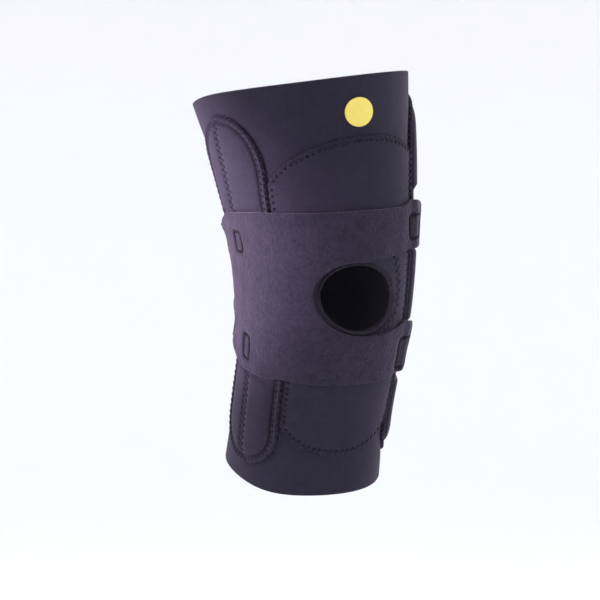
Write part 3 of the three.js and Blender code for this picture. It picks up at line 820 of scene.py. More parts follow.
def pad_height(side, angle, height):
    """Height of a panel's padding above its flange: pressed under the wrap, and free
    again in the mouth of the wrap on the inner side."""
    upper = ease(WRAP_RISE + PRESS_FADE, WRAP_RISE, height)
    lower = ease(-WRAP_DROP - PRESS_FADE, -WRAP_DROP, height)
    beside_arms = np.minimum(angle, WRAP_INNER_END)
    high_edge, low_edge = opening_edge(beside_arms, 1), opening_edge(beside_arms, -1)
    mouth = ease(high_edge, high_edge - PRESS_FADE, height) * ease(low_edge, low_edge + PRESS_FADE, height)
    press = upper * lower * (1 - mouth * (side == "inner"))
    free, pressed = PANEL_HEIGHTS[side]["free"], PANEL_HEIGHTS[side]["pressed"]
    return free + (pressed - free) * press - FLANGE_THICKNESS


def flange_top(side, height):
    """Lift of a flange's face, which the stitches press thin at the panel's lower end."""
    end = PANEL_BOTTOM + FLANGE_PRESS_REACH
    return LAYER_GAP + FLANGE_THICKNESS * (1 - FLANGE_PRESS[side] * ease(end, PANEL_BOTTOM, height))


def distance_to_line(points, line):
    """Distance from each point to a closed line of places, and how many places along it
    the nearest spot lies: the nearer of the two stretches beside the nearest place."""
    which = nearest(points, line)[0]
    distance = np.full(len(points), np.inf)
    run = which.astype(float)
    for step in (-1, 0):
        first = (which + step) % len(line)
        start = line[first]
        stretch = line[(first + 1) % len(line)] - start
        length = np.maximum((stretch**2).sum(axis=1), 1e-16)
        t = np.clip(((points - start) * stretch).sum(axis=1) / length, 0, 1)
        apart = np.linalg.norm(points - start - t[:, None] * stretch, axis=1)
        run = np.where(apart < distance, first + t, run)
        distance = np.minimum(distance, apart)
    return distance, run


def grid_outline(angle, height):
    """The closed edge of a grid of columns, with its inside on the left."""
    def around(values):
        return np.concatenate([values[:, 0], values[-1, 1:], values[-2::-1, -1], values[0, -2::-1]])
    return around(angle), around(height)


OUTLINE_STEPS = 12
DRAWN_IN_REACH = 0.0016


def distance_from(angle, height, outline, pitch):
    """Distance of places from a closed path, the turns of its zigzag up to the nearest
    spot on it, and the path in fine steps."""
    path = along_path(*outline, pitch, OUTLINE_STEPS)
    distance, run = distance_to_line(bare_point(angle, height), bare_point(path[0], path[1])[:-1])
    return distance, run / OUTLINE_STEPS, path


def draw_in_edge(angle, height, outline, pitch, depth):
    """Draws a sheet's edge in where a stitch passes over it, by a raised cosine along the
    edge that fades inwards. Gives the new places, each one's distance from the edge and
    the zigzag's turns there."""
    from_edge, turns, (_, _, left_angle, left_height) = distance_from(angle, height, outline, pitch)
    near = np.clip(1 - from_edge / DRAWN_IN_REACH, 0, 1)
    pull = depth * (0.5 - 0.5 * np.cos(2 * np.pi * turns)) ** 2 * near
    which = (turns * OUTLINE_STEPS).astype(int)
    return angle + pull * left_angle[which], height + pull * left_height[which], from_edge, turns


panel_finish = jersey_finish(
    "panel_jersey", (0.0155, 0.0130, 0.0240), (0.030, 0.0252, 0.0445), 0.18, SHEEN_TINT,
    {"Wale": 0.0008, "Relief": 0.00007, "Nap": 0.00010, "Nap Size": 0.0011, "Blotch": 0.32},
)

EDGE_ROUNDING = 0.00075
UNDERSIDE_SHARE = 0.4
EDGE_STITCH_PITCH = 0.0050
EDGE_STITCH_WIDTH = 0.0038
EDGE_STITCH_OVER = 0.0013
EDGE_DRAWN_IN = 0.0011
PINCH_DEPTH = 0.0022
PINCH_REACH = 0.0021
# Between the stitches over it, the flange puffs up beside its edge.
EDGE_PUFFS = {"outer": 0.0020, "inner": 0.0014}
PUFF_FROM_EDGE = 0.0012
PUFF_REACH = 0.0016
PUFF_PINCHED = 1.4
# A stitch over the cut edge starts in the cloth, crosses the edge and ends below it.
OVER_EDGE_ARC = np.array([-0.0007, 0.00005, 0.00022, -0.0001, -0.0011, -0.0018, -0.0026])
CHANNEL_SEAM_WIDTH = 0.0050
CHANNEL_SEAM_PITCH = 0.0052
CHANNEL_STITCH_LEVEL = 0.50
PAST_END_WEIGHT = 3
# The pad rises over its shoulder from the flange and sinks to a valley at the channel seam.
SHOULDER_WIDTH = 0.0095
VALLEY_DEPTH = 0.62
VALLEY_REACH = 0.0042
# The crease between the flange and the pad, and the painted shade that darkens it.
WELT_IN_FLANGE = 0.0004
WELT_REACH = 0.0007
WELT_DEPTH = 0.0006
WELT_PAINTED_SHADE = 0.75


def over_edge_lifts(top, starts_inside):
    """Heights along stitches that pass over a cut edge, from the height of the cloth's
    face, turned round for those that start outside."""
    return top + np.where(starts_inside[:, None], OVER_EDGE_ARC, OVER_EDGE_ARC[::-1])


def make_side_panel(side):
    """A grid with round ends, its columns closest at the channel seam. Valley, crease and
    puffs are bell curves of the distance from the seam or the edge."""
    turn = np.radians(crowd(-90, 90, 113, [0], 7, 1.2))
    across = np.sin(turn)
    shoulder = 1 - np.sqrt(np.clip(1 - across**2, 0, 1))
    top = PANEL_TOP - TOP_CAP_LENGTH * shoulder
    bottom = PANEL_BOTTOM + BOTTOM_CAP_LENGTH * shoulder
    height = band(bottom, top, np.linspace(0, 1, 290), EDGE_STEPS, EDGE_STEPS)
    rearward = (across < 0) if side == "outer" else (across > 0)
    span = np.where(rearward[:, None], panel_rear_span(side, height), panel_half_span(height))
    angle = panel_middle(side, height) + across[:, None] * span
    faces = grid_faces(np.arange(height.size).reshape(height.shape), False)
    outline = grid_outline(angle, height)
    angle, height, from_edge, turns = draw_in_edge(angle.ravel(), height.ravel(), outline,
                                                   EDGE_STITCH_PITCH, EDGE_DRAWN_IN)
    pad = pad_height(side, angle, height)
    left_of_middle = (panel_middle(side, height) - angle) * girth(angle, height)
    into_pad = np.clip((from_edge - FLANGE_WIDTH) / SHOULDER_WIDTH, 0, 1)
    crown = np.sqrt(1 - (1 - into_pad) ** 2)
    valley = 1 - VALLEY_DEPTH * np.exp(-((left_of_middle / VALLEY_REACH) ** 2))
    welt = np.exp(-(((from_edge - FLANGE_WIDTH + WELT_IN_FLANGE) / WELT_REACH) ** 2))
    seam_height = np.linspace(PANEL_BOTTOM + FLANGE_WIDTH, PANEL_TOP - FLANGE_WIDTH, 200)
    seam_path = (panel_middle(side, seam_height), seam_height)
    channel = zigzag(*seam_path, CHANNEL_SEAM_WIDTH / 2, -CHANNEL_SEAM_WIDTH / 2, CHANNEL_SEAM_PITCH)
    channel_turns = np.interp(height, along_path(*seam_path, CHANNEL_SEAM_PITCH, 2)[1],
                              np.arange(len(channel[0])) / 2)
    past_ends = np.abs(height - np.clip(height, seam_height[0], seam_height[-1]))
    marks = nearer_marks(
        hole_marks(left_of_middle + PAST_END_WEIGHT * past_ends, channel_turns,
                   CHANNEL_SEAM_WIDTH / 2, -CHANNEL_SEAM_WIDTH / 2),
        hole_marks(from_edge, turns, EDGE_STITCH_WIDTH, -EDGE_STITCH_OVER),
    )
    edge = zigzag(*outline, EDGE_STITCH_WIDTH, -EDGE_STITCH_OVER, EDGE_STITCH_PITCH)
    pinch = pulled_in(bare_point(angle, height), edge[0][~edge[2]], edge[1][~edge[2]], PINCH_REACH)
    flat = flange_top(side, height)
    puffed = np.exp(-(((from_edge - PUFF_FROM_EDGE) / PUFF_REACH) ** 2))
    puffed = puffed * np.clip(1 - PUFF_PINCHED * pinch, 0, 1)
    outside = (flat + pad * crown * valley - WELT_DEPTH * welt - NEEDLE_DEPTH * hole_depth(marks)
               - PINCH_DEPTH * pinch + EDGE_PUFFS[side] * puffed - rounding(from_edge, EDGE_ROUNDING))
    inside = LAYER_GAP + rounding(from_edge, UNDERSIDE_SHARE * EDGE_ROUNDING)
    outside = np.maximum(outside, inside + THINNEST)
    # The seam mark is painted shade in the crease between flange and pad.
    panel = add_cloth(f"{side}_panel_pad", panel_finish, angle, height, outside, inside,
                      faces, {**marks, "seam": WELT_PAINTED_SHADE * welt})
    stitch_angle, stitch_height = between_holes(channel[0], channel[1])
    shown = in_sight(stitch_angle, stitch_height)
    stitch_angle, stitch_height = stitch_angle[shown], stitch_height[shown]
    up_pad = CHANNEL_STITCH_LEVEL * pad_height(side, stitch_angle, stitch_height)
    level = flange_top(side, stitch_height) + up_pad
    add_thread(f"{side}_panel_channel_stitches", thread_finish, stitch_angle, stitch_height,
               level + STITCH_ARC, THREAD_RADIUS)
    stitch_angle, stitch_height = between_holes(edge[0], edge[1])
    shown = in_sight(stitch_angle, stitch_height)
    stitch_angle, stitch_height = stitch_angle[shown], stitch_height[shown]
    add_thread(f"{side}_panel_edge_stitches", thread_finish, stitch_angle, stitch_height,
               over_edge_lifts(flange_top(side, stitch_height), edge[2][:-1][shown]), THREAD_RADIUS)
    return panel


for side in ("outer", "inner"):
    panel = make_side_panel(side)
    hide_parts(f"side_panel_{side}")

# Front panel
# A reinforcing layer of 2 mm neoprene over the shin, kneecap and thigh, between the side
# panels. It is arched at its top and bottom and zigzagged over its cut edge, and a ring
# of stitches round the kneecap's hole holds it to the sleeve.

FRONT_THICKNESS = 0.002
FRONT_TOP = SLEEVE_LENGTH / 2 - 0.0445
FRONT_BOTTOM = -SLEEVE_LENGTH / 2 + 0.0345
ARCH_CENTRE = 4
ARCH_SPAN = 55.5
ARCH_DROP = 0.041
SMILE_SPAN = 58
SMILE_RISE = 0.050
PANEL_SPACING = 0.6
RING_HALF_WIDTH = 0.0385
RING_RISE = 0.040
RING_DROP = 0.027
RING_SQUARENESS = 2.5
RING_PITCH = 0.0062
RING_WIDTH = 0.0030
RING_COVERED = 20


def arch(angle, span, drop):
    """How far an elliptical edge has dropped at an angle from its middle."""
    return drop * (1 - np.sqrt(1 - np.minimum(np.abs(angle / span), 1) ** 2))


def front_borders(height):
    """Angles where the front panel meets the outer and inner side panels."""
    outer = panel_middle("outer", height) + panel_half_span(height) + PANEL_SPACING
    inner = panel_middle("inner", height) - panel_half_span(height) - PANEL_SPACING
    return outer, inner


def ring_path():
    """The closed line of the ring of stitches: a squared oval that reaches farther up
    than down."""
    turn = np.linspace(0, 2 * np.pi, 240)
    power = 2 / RING_SQUARENESS
    across = RING_HALF_WIDTH * np.sign(np.cos(turn)) * np.abs(np.cos(turn)) ** power
    reach = np.where(np.sin(turn) > 0, RING_RISE, RING_DROP)
    return HOLE_ANGLE + across / FRONT_GIRTH, reach * np.sign(np.sin(turn)) * np.abs(np.sin(turn)) ** power


def ring_reach(angle, height):
    """How far out a place lies as a share of the ring's own reach in that direction."""
    across = np.abs(angle - HOLE_ANGLE) * FRONT_GIRTH / RING_HALF_WIDTH
    up = np.abs(height) / np.where(height > 0, RING_RISE, RING_DROP)
    return (across**RING_SQUARENESS + up**RING_SQUARENESS) ** (1 / RING_SQUARENESS)


def make_front_panel():
    """A grid between the two side panels, in two bands of rows that part round the hole.
    The cut edge is drawn in and pinched at each stitch over it."""
    left, right = (float(border) for border in front_borders(0.0))
    near_edge = EDGE_STEPS / FRONT_GIRTH
    hole_part = hole_columns(65)
    columns = np.concatenate([
        left + near_edge, np.linspace(left + near_edge[-1], hole_part[0], 26)[1:-1], hole_part,
        np.linspace(hole_part[-1], right - near_edge[-1], 22)[1:-1], right - near_edge[::-1],
    ])
    opened, edge = open_hole(columns, hole_part)
    middle = hole_line(columns)
    top = FRONT_TOP - arch(columns - ARCH_CENTRE, ARCH_SPAN, ARCH_DROP)
    bottom = FRONT_BOTTOM + arch(columns, SMILE_SPAN, SMILE_RISE)
    rows = np.linspace(0, 1, 106)
    lower = band(bottom, middle - edge, rows**1.2, EDGE_STEPS, NO_STEPS)
    upper = band(middle + edge, top, 1 - rows[::-1] ** 1.2, NO_STEPS, EDGE_STEPS)
    share, height, faces = slit_sheet((columns - left) / (right - left), lower, upper, opened, False)
    start, end = front_borders(height)
    angle = start + (end - start) * share
    side_height = np.linspace(bottom[-1], top[-1], 120)
    left_height = np.linspace(top[0], bottom[0], 120)
    low_start, low_end = front_borders(bottom)
    top_start, top_end = front_borders(top)
    even = (columns - left) / (right - left)
    outline = (
        np.concatenate([low_start + (low_end - low_start) * even, front_borders(side_height)[1],
                        (top_start + (top_end - top_start) * even)[::-1], front_borders(left_height)[0]]),
        np.concatenate([bottom, side_height, top[::-1], left_height]),
    )
    angle, height, from_edge, turns = draw_in_edge(angle, height, outline, EDGE_STITCH_PITCH, EDGE_DRAWN_IN)
    ring = zigzag(*ring_path(), RING_WIDTH / 2, -RING_WIDTH / 2, RING_PITCH)
    edge_holes = zigzag(*outline, EDGE_STITCH_WIDTH, -EDGE_STITCH_OVER, EDGE_STITCH_PITCH)
    from_ring, ring_turns, _ = distance_from(angle, height, ring_path(), RING_PITCH)
    inside_ring = np.where(ring_reach(angle, height) < 1, 1, -1)
    covered = FAR * (angle < HOLE_ANGLE - RING_COVERED)
    marks = nearer_marks(
        hole_marks(from_ring * inside_ring + covered, ring_turns, RING_WIDTH / 2, -RING_WIDTH / 2),
        hole_marks(from_edge, turns, EDGE_STITCH_WIDTH, -EDGE_STITCH_OVER),
    )
    pinch = pulled_in(bare_point(angle, height), edge_holes[0][~edge_holes[2]], edge_holes[1][~edge_holes[2]],
                      PINCH_REACH)
    flat = LAYER_GAP + FRONT_THICKNESS
    outside = (flat - NEEDLE_DEPTH * hole_depth(marks) - PINCH_DEPTH * pinch
               - rounding(from_edge, EDGE_ROUNDING))
    inside = LAYER_GAP + rounding(from_edge, UNDERSIDE_SHARE * EDGE_ROUNDING)
    outside = np.maximum(outside, inside + THINNEST)
    front = add_cloth("front_panel_neoprene", sleeve_finish, angle, height, outside, inside,
                      faces, marks)
    for name, holes in (("front_panel_edge_stitches", edge_holes), ("kneecap_ring_stitches", ring)):
        stitch_angle, stitch_height = between_holes(holes[0], holes[1])
        shown = in_sight(stitch_angle, stitch_height)
        if name == "kneecap_ring_stitches":
            shown &= stitch_angle.mean(axis=1) > HOLE_ANGLE - RING_COVERED
            lifts = np.broadcast_to(flat + STITCH_ARC, stitch_angle.shape)
        else:
            lifts = over_edge_lifts(flat, holes[2][:-1])
        add_thread(name, thread_finish, stitch_angle[shown], stitch_height[shown], lifts[shown],
                   THREAD_RADIUS)
    return front


front = make_front_panel()
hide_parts("front_panel")

# Binding of the kneecap's hole
# The cut edges of the sleeve and the front panel are overlocked together with dark
# thread, wound over the edge in close turns.

BINDING_PROUD = 0.0001
OVERLOCK_TURNS = 118
OVERLOCK_RELIEF = 0.00016
OVERLOCK_LEAN = 1.5
BINDING_LENGTH = 0.17


def make_binding():
    """A ring round the oval whose section is a rounded box; its size swells and shrinks
    with each turn of thread, and the turns lean like a screw's."""
    columns, corners = 8 * OVERLOCK_TURNS, 16
    turn = 2 * np.pi * np.arange(columns)[:, None] / columns
    corner = 2 * np.pi * np.arange(corners)[None, :] / corners
    wound = np.cos(OVERLOCK_TURNS * turn + OVERLOCK_LEAN * np.sin(corner))
    swell = OVERLOCK_RELIEF * wound
    low = -SLEEVE_WALL - BINDING_PROUD
    high = LAYER_GAP + FRONT_THICKNESS + BINDING_PROUD
    box = np.abs(np.cos(corner)) ** 4 + np.abs(np.sin(corner)) ** 4
    radius = box ** -0.25
    grow = BINDING_WIDTH / 2 + (BINDING_WIDTH / 2 + swell) * radius * np.cos(corner)
    lift = (low + high) / 2 + ((high - low) / 2 + swell) * radius * np.sin(corner)
    across = (HOLE_WIDTH / 2 + grow) * np.cos(turn)
    up = (HOLE_HEIGHT / 2 + grow) * np.sin(turn) + np.tan(np.radians(HOLE_TILT)) * across
    points = skin(HOLE_ANGLE + across / FRONT_GIRTH, up, lift)
    ids = np.arange(columns * corners).reshape(columns, corners)
    ahead = np.roll(ids, -1, axis=0)
    faces = np.stack([ids, ahead, np.roll(ahead, -1, axis=1), np.roll(ids, -1, axis=1)], axis=-1)
    faces = faces.reshape(-1, 4)
    uv = np.stack([faces // corners / columns * BINDING_LENGTH, faces % corners / corners], axis=-1)
    return add_piece("kneecap_hole_binding", binding_finish, points.reshape(-1, 3),
                     faces, uv, {})


binding = make_binding()
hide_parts("hole_binding")

# Wrap
# A C of thicker, brushed neoprene that holds the kneecap. It is closed on the outer side of
# the knee, its two arms reach round the front to the inner side, and its edges are cut
# plain. Box stitches at its corners and arms hold it to the straps and the sleeve.

WRAP_THICKNESS = 0.0025
CLIMB_SPAN = 11
WRAP_ROUNDING = 0.0008
OUTER_CORNER_RADIUS = 0.008
ARM_CORNER_RADIUS = 0.005
LOWER_ARM_CORNER_RADIUS = 0.012
MOUTH_CORNER_RADIUS = 0.003
STRAP_WIDTH = 0.025
STRAP_THICKNESS = 0.0015
STRAP_HEIGHTS = {"upper": 0.042, "lower": -0.043}
STRAP_OUTER_END = -125
STRAP_INNER_END = 52
STRAP_RAMP_NEAR = 0.003
STRAP_RAMP_FAR = 0.021
STRAP_END_NEAR = 2
STRAP_END_FAR = 8

# Corners that stand off the leg: at is the share of the way from the outer to the inner
# end, height a share of WRAP_RISE or, below the kneecap, of WRAP_DROP.
CORNER_FLARES = [
    {"at": 0.07, "height": 0.84, "lift": 0.0020},
    {"at": 0.09, "height": -0.82, "lift": 0.0020},
    {"at": 1.00, "height": 0.82, "lift": 0.0020},
    {"at": 1.00, "height": -0.40, "lift": 0.0012},
]
FLARE_SPAN = 12
FLARE_REACH = 0.010


def layers_under(angle, height):
    """The top of the pressed layers under the wrap: the front panel's, from which it
    climbs onto each side panel."""
    front_layer = LAYER_GAP + FRONT_THICKNESS
    outer = panel_middle("outer", height) + panel_half_span(height)
    inner = panel_middle("inner", height) - panel_half_span(height)
    onto_outer = ease(outer + CLIMB_SPAN, outer, angle)
    onto_inner = ease(inner - CLIMB_SPAN, inner, angle)
    return (front_layer + (PANEL_HEIGHTS["outer"]["pressed"] - FRONT_THICKNESS) * onto_outer
            + (PANEL_HEIGHTS["inner"]["pressed"] - FRONT_THICKNESS) * onto_inner)


def over_strap(angle, height, strap_height):
    """How far a place lies over the end of a strap, from 0 to 1."""
    from_edge = np.abs(height - strap_height) - STRAP_WIDTH / 2
    on_outer = ease(STRAP_OUTER_END + STRAP_END_FAR, STRAP_OUTER_END + STRAP_END_NEAR, angle)
    on_inner = ease(STRAP_INNER_END - STRAP_END_FAR, STRAP_INNER_END - STRAP_END_NEAR, angle)
    return ease(STRAP_RAMP_FAR, STRAP_RAMP_NEAR, from_edge) * np.maximum(on_outer, on_inner)


def flare(angle, height):
    """How far the wrap's corners stand off: a bell curve round each corner."""
    total = np.zeros(np.shape(angle))
    for corner in CORNER_FLARES:
        level = corner["height"] * (WRAP_RISE if corner["height"] > 0 else WRAP_DROP)
        place = WRAP_OUTER_END + (WRAP_INNER_END - WRAP_OUTER_END) * corner["at"]
        away = ((angle - place) / FLARE_SPAN) ** 2 + ((height - level) / FLARE_REACH) ** 2
        total = total + corner["lift"] * np.exp(-away)
    return total


def wrap_lift(angle, height):
    """Lift of the wrap's inner face: over the panels, over a strap's end, and flared."""
    strap = np.maximum(over_strap(angle, height, STRAP_HEIGHTS["upper"]),
                       over_strap(angle, height, STRAP_HEIGHTS["lower"]))
    return (layers_under(angle, height) + LAYER_GAP + (STRAP_THICKNESS + LAYER_GAP) * strap
            + flare(angle, height))


# Boxes of satin stitches: two angles and two heights. The last two lie over the straps'
# outer ends, where the photograph doesn't reach.
STITCH_BOXES = [
    {"left": -89.0, "right": -80.5, "low": 0.0330, "high": 0.0500},
    {"left": -87.5, "right": -79.5, "low": -0.0580, "high": -0.0375},
    {"left": 43.0, "right": 56.0, "low": 0.0350, "high": 0.0505},
    {"left": 42.0, "right": 54.0, "low": -0.0545, "high": -0.0325},
    {"left": -129.0, "right": -120.0, "low": 0.0325, "high": 0.0500},
    {"left": -129.0, "right": -120.0, "low": -0.0510, "high": -0.0345},
]
BOX_CORNER = 0.9
BOX_SLOPE_SPAN = 1
BOX_SLOPE_RISE = 0.001
BOX_SINK = 0.5
# Painted shade in each box's lowered middle.
BOX_PAINTED_SHADE = 0.25
BOX_CROWD_REACH = 1.6
BOX_CROWD_SHARE = 1.5
SATIN_WIDTH = 0.0017
SATIN_PITCH = 0.0012
SATIN_DEPTH = 0.00075
SATIN_REACH = 0.0011
# Painted shade in the dimples that the satin stitches draw in.
SATIN_PAINTED_SHADE = 0.9
SATIN_LEVEL = 0.75
WRAP_WAVE = 0.00025


def box_path(box):
    """The closed outline of a box of stitches, its corners cut a little."""
    left, right, low, high = box["left"], box["right"], box["low"], box["high"]
    cut = BOX_CORNER * FRONT_GIRTH
    angle = [left, left + BOX_CORNER, right - BOX_CORNER, right, right, right - BOX_CORNER,
             left + BOX_CORNER, left, left]
    height = [low + cut, low, low, low + cut, high - cut, high, high, high - cut, low + cut]
    return np.array(angle), np.array(height)


def inside_box(box, angle, height):
    """1 inside a box of stitches, which sinks there, and 0 outside it."""
    across = ease(box["left"], box["left"] + BOX_SLOPE_SPAN, angle)
    across = across * ease(box["right"], box["right"] - BOX_SLOPE_SPAN, angle)
    from_low = ease(box["low"], box["low"] + BOX_SLOPE_RISE, height)
    return across * from_low * ease(box["high"], box["high"] - BOX_SLOPE_RISE, height)


wrap_finish = jersey_finish(
    "wrap_brushed_jersey", (0.012, 0.0104, 0.020), (0.038, 0.0316, 0.053), 0.22, (0.80, 0.64, 0.90),
    {"Wale": 0.0009, "Relief": 0.00005, "Nap": 0.00075, "Nap Size": 0.0025, "Blotch": 0.28},
)


def make_wrap():
    """Two bands of rows that meet on the outer side of the kneecap's opening and part into
    the two arms. Its corners are round, and the cloth is drawn down under each stitch."""
    left_tip = HOLE_ANGLE - OPENING_HALF_WIDTH / FRONT_GIRTH
    outer_scale = float(girth(WRAP_OUTER_END, 0.0))
    inner_scale = float(girth(WRAP_INNER_END, 0.0))
    round_corner = 1 - np.cos(np.radians(np.linspace(0, 90, 11)))
    outer_part = WRAP_OUTER_END + OUTER_CORNER_RADIUS / outer_scale * round_corner
    arm_part = WRAP_INNER_END - LOWER_ARM_CORNER_RADIUS / inner_scale * round_corner[::-1]
    tip_part = HOLE_ANGLE - OPENING_HALF_WIDTH / FRONT_GIRTH * np.cos(np.radians(np.linspace(0, 90, 28)))
    box_sides = [box[side] for box in STITCH_BOXES for side in ("left", "right")]
    columns = np.concatenate([
        outer_part,
        crowd(outer_part[-1], tip_part[0], 86, box_sides, BOX_CROWD_REACH, BOX_CROWD_SHARE)[1:-1],
        tip_part,
        crowd(tip_part[-1], arm_part[0], 66, box_sides, BOX_CROWD_REACH, BOX_CROWD_SHARE)[1:-1],
        arm_part,
    ])
    bottom, top = wrap_edges(columns)
    from_outer_end = (columns - WRAP_OUTER_END) * outer_scale
    from_arm_end = (WRAP_INNER_END - columns) * inner_scale
    outer_cut = rounding(from_outer_end, OUTER_CORNER_RADIUS)
    high_cut = outer_cut + rounding(from_arm_end, ARM_CORNER_RADIUS)
    low_cut = outer_cut + rounding(from_arm_end, LOWER_ARM_CORNER_RADIUS)
    mouth_cut = rounding(from_arm_end, MOUTH_CORNER_RADIUS)
    opened = columns > left_tip + 1e-9
    closed_line = hole_line(columns)
    low_edge = np.where(opened, opening_edge(columns, -1) - mouth_cut, closed_line)
    high_edge = np.where(opened, opening_edge(columns, 1) + mouth_cut, closed_line)
    lower = band(bottom + low_cut, low_edge, np.linspace(0, 1, 54), EDGE_STEPS, EDGE_STEPS)
    upper = band(high_edge, top - high_cut, np.linspace(0, 1, 52), EDGE_STEPS, EDGE_STEPS)
    angle, height, faces = slit_sheet(columns, lower, upper, opened, False)
    first = int(np.flatnonzero(opened)[0]) - 1
    arms = columns[first:]
    outline = (
        np.concatenate([columns, [columns[-1]], arms[::-1], arms[1:], [columns[-1]], columns[::-1],
                        [columns[0]]]),
        np.concatenate([lower[:, 0], [lower[-1, -1]], lower[first:, -1][::-1], upper[first:, 0][1:],
                        [upper[-1, -1]], upper[:, -1][::-1], [lower[0, 0]]]),
    )
    from_edge = distance_from(angle, height, outline, EDGE_STITCH_PITCH)[0]
    lift = wrap_lift(angle, height)
    soft = WRAP_WAVE * np.sin(0.31 * angle + 90 * height) * np.sin(150 * height - 0.12 * angle)
    satin = [zigzag(*box_path(box), SATIN_WIDTH / 2, -SATIN_WIDTH / 2, SATIN_PITCH) for box in STITCH_BOXES]
    spots = bare_point(angle, height)
    drawn = sum(pulled_in(spots, holes[0], holes[1], SATIN_REACH) for holes in satin)
    boxed = sum(inside_box(box, angle, height) for box in STITCH_BOXES)
    outside = (lift + WRAP_THICKNESS + soft - SATIN_DEPTH * np.maximum(drawn, BOX_SINK * boxed)
               - rounding(from_edge, WRAP_ROUNDING))
    inside = lift + rounding(from_edge, UNDERSIDE_SHARE * WRAP_ROUNDING)
    paths = [between_holes(holes[0], holes[1]) for holes in satin]
    stitch_angle = np.concatenate([path[0] for path in paths])
    stitch_height = np.concatenate([path[1] for path in paths])
    level = wrap_lift(stitch_angle, stitch_height) + WRAP_THICKNESS - SATIN_LEVEL * SATIN_DEPTH
    add_thread("wrap_box_stitches", dark_thread_finish, stitch_angle, stitch_height, level + STITCH_ARC,
               THREAD_RADIUS)
    # The seam mark is painted shade in the drawn-in dimples and the lowered box middles.
    return add_cloth("wrap_neoprene", wrap_finish, angle, height, outside, inside, faces,
                     {"seam": np.maximum(SATIN_PAINTED_SHADE * drawn, BOX_PAINTED_SHADE * boxed)})


wrap = make_wrap()
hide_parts("wrap_panel")

# Straps
# Two strips of ribbed webbing run round the back of the knee from under the wrap's outer
# corners to under the ends of its arms.

STRAP_FADE = 20
STRAP_ROUNDING = 0.0005
OVER_SEAM_RISE = 0.0005
OVER_SEAM_REACH = 0.009
WEBBING_RIB = 0.0018
WEFT_PITCH = 0.0009
RIB_RELIEF = 0.00012


def make_webbing_finish():
    """Woven nylon webbing: ribs along the strap, crossed by fine weft threads, both as
    bumps, with painted shade in the gaps and painted highlight on the raised weft."""
    material = bpy.data.materials.new("ribbed_webbing")
    material.use_nodes = True
    tree = material.node_tree
    shader = tree.nodes["Principled BSDF"]
    place = add_node(tree, "ShaderNodeUVMap", uv_map="cloth")
    split = add_node(tree, "ShaderNodeSeparateXYZ", Vector=place.outputs["UV"])
    ribs = sum_up(tree, "MULTIPLY", split.outputs["Y"], np.pi / WEBBING_RIB)
    weft = sum_up(tree, "MULTIPLY_ADD", split.outputs["X"], 2 * np.pi / WEFT_PITCH, ribs)
    rib = sum_up(tree, "ABSOLUTE", sum_up(tree, "SINE", ribs, 0), 0)
    thread = sum_up(tree, "MULTIPLY_ADD", sum_up(tree, "SINE", weft, 0), 0.5, 0.5)
    woven = sum_up(tree, "MULTIPLY", rib, thread)
    # Painted shade and highlight: the colour follows the weave's bump, dark in the gaps and light on the
    # raised threads.
    tint = add_node(tree, "ShaderNodeMix", data_type="RGBA")
    tree.links.new(woven, tint.inputs[0])
    tint.inputs[6].default_value = (0.007, 0.0058, 0.011, 1)
    tint.inputs[7].default_value = (0.028, 0.0235, 0.039, 1)
    tree.links.new(tint.outputs[2], shader.inputs["Base Color"])
    bump = add_node(tree, "ShaderNodeBump", Strength=1.0, Distance=0.00018, Height=woven)
    tree.links.new(bump.outputs["Normal"], shader.inputs["Normal"])
    shader.inputs["Roughness"].default_value = 0.62
    shader.inputs["Specular IOR Level"].default_value = 0.10
    return material


webbing_finish = make_webbing_finish()


def make_strap(name):
    """A ribbed strip round the back, which climbs from the sleeve onto each side panel."""
    strap_height = STRAP_HEIGHTS[name]
    columns = np.linspace(STRAP_INNER_END, 360 + STRAP_OUTER_END, 150)
    low = np.full(len(columns), strap_height - STRAP_WIDTH / 2)
    height = band(low, low + STRAP_WIDTH, np.linspace(0, 1, 57), EDGE_STEPS, EDGE_STEPS)
    angle = np.repeat(columns, height.shape[1])
    faces = grid_faces(np.arange(height.size).reshape(height.shape), False)
    height = height.ravel()
    outer_rear = 360 + panel_middle("outer", height) - panel_rear_span("outer", height)
    inner_rear = panel_middle("inner", height) + panel_rear_span("inner", height)
    on_inner = ease(inner_rear + STRAP_FADE, inner_rear, angle)
    on_outer = ease(outer_rear - STRAP_FADE, outer_rear, angle)
    from_seam = (angle - 180) * girth(180.0, strap_height)
    over_seam = OVER_SEAM_RISE * np.exp(-((from_seam / OVER_SEAM_REACH) ** 2))
    base = (LAYER_GAP + (LAYER_GAP + PANEL_HEIGHTS["inner"]["pressed"]) * on_inner
            + (LAYER_GAP + PANEL_HEIGHTS["outer"]["pressed"]) * on_outer + over_seam)
    from_edge = STRAP_WIDTH / 2 - np.abs(height - strap_height)
    ribbed = RIB_RELIEF * np.abs(np.sin(np.pi * height / WEBBING_RIB))
    outside = base + STRAP_THICKNESS - RIB_RELIEF + ribbed - rounding(from_edge, STRAP_ROUNDING)
    inside = base + rounding(from_edge, STRAP_ROUNDING)
    return add_cloth(f"{name}_strap_webbing", webbing_finish, angle, height, outside, inside,
                     faces, {})


for name, length in (("upper", 0.222), ("lower", 0.205)):
    strap = make_strap(name)
    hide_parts(f"strap_{name}")

# Round patch
# A disc of yellow film, heat-pressed on the sleeve above the arch. Its middle is plain.

PATCH_DIAMETER = 0.0235
PATCH_THICKNESS = 0.0008
PATCH_HEIGHT = SLEEVE_LENGTH / 2 - 0.027
PATCH_ANGLE = 9
PATCH_STRETCH = 1.04
PATCH_SHRINK = 0.92
PATCH_ROUNDING = 0.0003
PATCH_BORDER = {"from_rim": 0.0011, "reach": 0.00035, "height": 0.00012}


